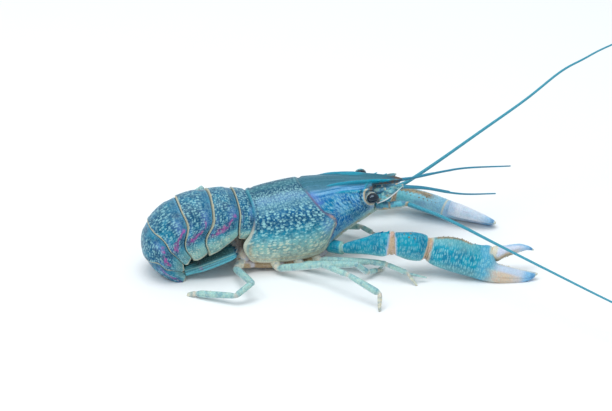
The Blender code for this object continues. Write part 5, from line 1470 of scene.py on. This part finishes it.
def make_antennule(tag, side):
    """A small feeler: its stalk with two branches."""
    look = look_of("haze", lambda p, share, turn: (
        ("teal", 0.4 * noise(p, 1.2, 2)), ("sage", 0.6 * patches(p, 0.9, 32, 0.5, 0.7)),
        ("brown", 0.5 * patches(p, 0.8, 33, 0.6, 0.8)),
        ("cream", 0.6 * np.maximum(hump(share, 0.4, 0.05), hump(share, 0.74, 0.05)))), net=0.4, dots=0.1)
    at, spots, wide, high = dense(mirror(ANTENNULE_STALK, side), 70)
    pinch = 1 - 0.12 * hump(at / at[-1], 0.4, 0.05) - 0.12 * hump(at / at[-1], 0.74, 0.05)
    stalk = skin(spots, wide * pinch, high * pinch, sides=32, ends=((1, 0, 0), None))
    piece = Piece(f"feeler_small_{tag}").add(stalk, look)
    x, y, z = ANTENNULE_STALK[-1][:3]
    for apart, path in zip((0.42, -0.42), ANTENNULE_PATHS[tag]):
        spots = spline([(x - 1.0, (y + apart) * side, z), *path], 420)
        run = run_along(spots)
        thin, spacing = BRANCH_RADII[1] - BRANCH_RADII[0], 0.5
        radius = (BRANCH_RADII[0] + thin * run / run[-1]) * ringed(run, spacing)
        radius[-3:] *= (0.8, 0.5, 0.2)
        piece.add(skin(spots, radius, radius, sides=12), feeler_look("haze", spacing))
    piece.make(FEELER, f"antennule_{tag}")


def make_antenna(tag, side):
    """A long feeler: its stalk, its fringed scale and the two lengths of its whip."""
    path = np.array(FEELER_PATHS[tag])
    lead = unit(path[1] - path[0])
    rows = np.concatenate([mirror(ANTENNA_STALK, side), stations((path[0] - lead * GAP / 2, 0.85))])
    look = look_of("haze", lambda p, share, turn: (
        ("aqua", 0.7 * patches(p, 1.3, 34, 0.4, 0.6)), ("cream", 0.7 * ease(-top_of(turn), -0.1, 0.5)),
        ("beige", 0.8 * np.maximum(hump(share, 0.42, 0.05), ease(share, 0.9, 0.97)))), net=0.5, dots=0.15)
    piece = Piece(f"feeler_{tag}_root")
    piece.add(tube(rows, rows=110, sides=48, ends=((1, 0, 0), lead), dome=0.15), look)
    outer = np.array((46.6, 7.6 * side, 18.6))
    piece.add(spine_grid(outer, outer + (1.6, 0.7 * side, 0.1), 0.4), look_of("beige"))
    piece.make(LIMB, f"antenna_{tag}_stalk")

    _, spots, wide, high = dense(mirror(SCALE_ROWS, side), 90, dome=0.3)
    c, s = section(56)
    ridge = 1 + (0.9 * hump(c, -0.72 * side, 0.22) - 0.35 * hump(c, -0.2 * side, 0.35)) * (s > 0)
    scale = skin(spots, wide, high[:, None] * ridge, (0, SCALE_TILT * side, 1), 56, ((1, 0, 0), None))

    def coats(points, share, turn):
        across = np.cos(2 * np.pi * turn) * -side
        return (("aqua", 0.6 * patches(points, 1.5, 35, 0.4, 0.65)),
                ("sage", 0.6 * patches(points, 0.8, 36, 0.5, 0.7)),
                ("brown", 0.75 * patches(points, 1.1, 4, 0.5, 0.75)),
                ("dark", 0.4 * patches(points, 0.8, 14, 0.6, 0.8)), ("white", 0.85 * ease(across, 0.84, 0.94)),
                ("turquoise", 0.5 * ease(-across, 0.5, 0.9)), ("peach", 0.7 * ease(share, 0.94, 0.99)))
    piece = Piece(f"feeler_{tag}_leaf").add(scale, look_of("ridge", coats, net=0.5, dots=0.15))
    feet = edge_line(scale, -side)[40:92:2]
    piece.hairs(feet, feet + unit((0.7, -side * 0.75, -0.1)) * 1.1, "haze")
    piece.make(LIMB, f"antenna_{tag}_scale")

    spots = spline(path, 2000)
    run, spacing = run_along(spots), 0.55
    thin = FEELER_RADII[1] - FEELER_RADII[0]
    radius = (FEELER_RADII[0] + thin * np.linspace(0, 1, len(spots)) ** 0.8) * ringed(run, spacing)
    radius[-6:] *= np.linspace(1, 0.3, 6)
    half = len(spots) // 2
    for part, low, high in (("near", 0, half + 1), ("far", half - 1, len(spots))):
        grid = skin(spots[low:high], radius[low:high], radius[low:high], sides=16)
        piece = Piece(f"feeler_{tag}_whip_{part}").add(grid, feeler_look("aqua", spacing))
        piece.make(FEELER, f"antenna_{tag}_whip_{part}")


def make_maxilliped(tag, side):
    """A jaw leg of several segments with a fringe of hairs along its inner edge."""
    at, spots, wide, high = dense(mirror(MAXILLIPED_ROWS, side), 120)
    pinch = 1 - 0.14 * sum(hump(at / at[-1], joint, 0.03) for joint in MAXILLIPED_JOINTS)
    look = look_of("leg", lambda p, share, turn: (
        ("cream", 0.6 * ease(-top_of(turn), -0.6, 0.5)),
        *(("beige", 0.8 * hump(share, joint, 0.05)) for joint in MAXILLIPED_JOINTS)), net=0.6, dots=0.3)
    grid = skin(spots, wide * pinch, high * pinch, sides=40)
    piece = Piece(f"jaw_leg_{tag}").add(grid, look)
    rng = np.random.default_rng(31 if side < 0 else 32)
    pick = np.repeat(np.arange(16, 124, 2), 3)
    feet = edge_line(grid, -side)[pick] + rng.normal(scale=0.12, size=(len(pick), 3)) + (0, side * 0.15, 0)
    lean = (0.5, -side * 0.55, -0.5) + rng.normal(scale=0.15, size=(len(pick), 3))
    piece.hairs(feet, feet + unit(lean) * rng.uniform(1.0, 1.8, (len(pick), 1)), "beige")
    piece.make(LIMB, f"maxilliped_{tag}")


# Stage, light and camera

def make_stage():
    half, level = FLOOR_HALF, FLOOR_LEVEL
    corners = [(-half, -half, level), (half, -half, level), (half, half, level), (-half, half, level)]
    mesh = bpy.data.meshes.new("floor")
    mesh.from_pydata(corners, [], [(0, 1, 2, 3)])
    mesh.materials.append(floor_finish())
    add_object("floor", mesh)

    world = bpy.data.worlds.new("white_room")
    world.use_nodes = True
    sky = world.node_tree.nodes["Background"]
    sky.inputs["Color"].default_value = (0.97, 0.985, 1.0, 1)
    sky.inputs["Strength"].default_value = 0.68
    bpy.context.scene.world = world
    for name, spot, aim, wide, power in SOFTBOXES:
        lamp = bpy.data.lights.new(name, "AREA")
        lamp.shape, lamp.size, lamp.energy = "DISK", wide, power
        made = add_object(name, lamp)
        made.location = spot
        made.rotation_euler = (Vector(aim) - Vector(spot)).to_track_quat("-Z", "Y").to_euler()


def make_camera():
    lens = bpy.data.cameras.new("camera")
    lens.lens, lens.sensor_width, lens.sensor_fit = 120, 36, "HORIZONTAL"
    made = add_object("camera", lens)
    made.location = CAMERA_SPOT
    made.rotation_euler = (math.pi / 2 - CAMERA_ELEVATION, 0, CAMERA_AZIMUTH)
    bpy.context.scene.camera = made
    bpy.context.scene.view_settings.view_transform = "Standard"


make_carapace()
make_underside()
make_abdomen()
make_tail_fan()
make_eyes()
knees = Piece("skin_leg_knees")
for leg, leg_joints in LEG_JOINTS.items():
    knees.add(make_leg(leg, leg_joints), knee_look)
knees.make(SOFT, slot="soft_joint")
for tag, side in SIDES:
    arm = Claw(tag, side)
    for build in (make_arm, make_palm, make_finger, make_arm_skins):
        build(arm)
    for build in (make_antennule, make_antenna, make_maxilliped):
        build(tag, side)
make_stage()
make_camera()

bpy.context.view_layer.update()
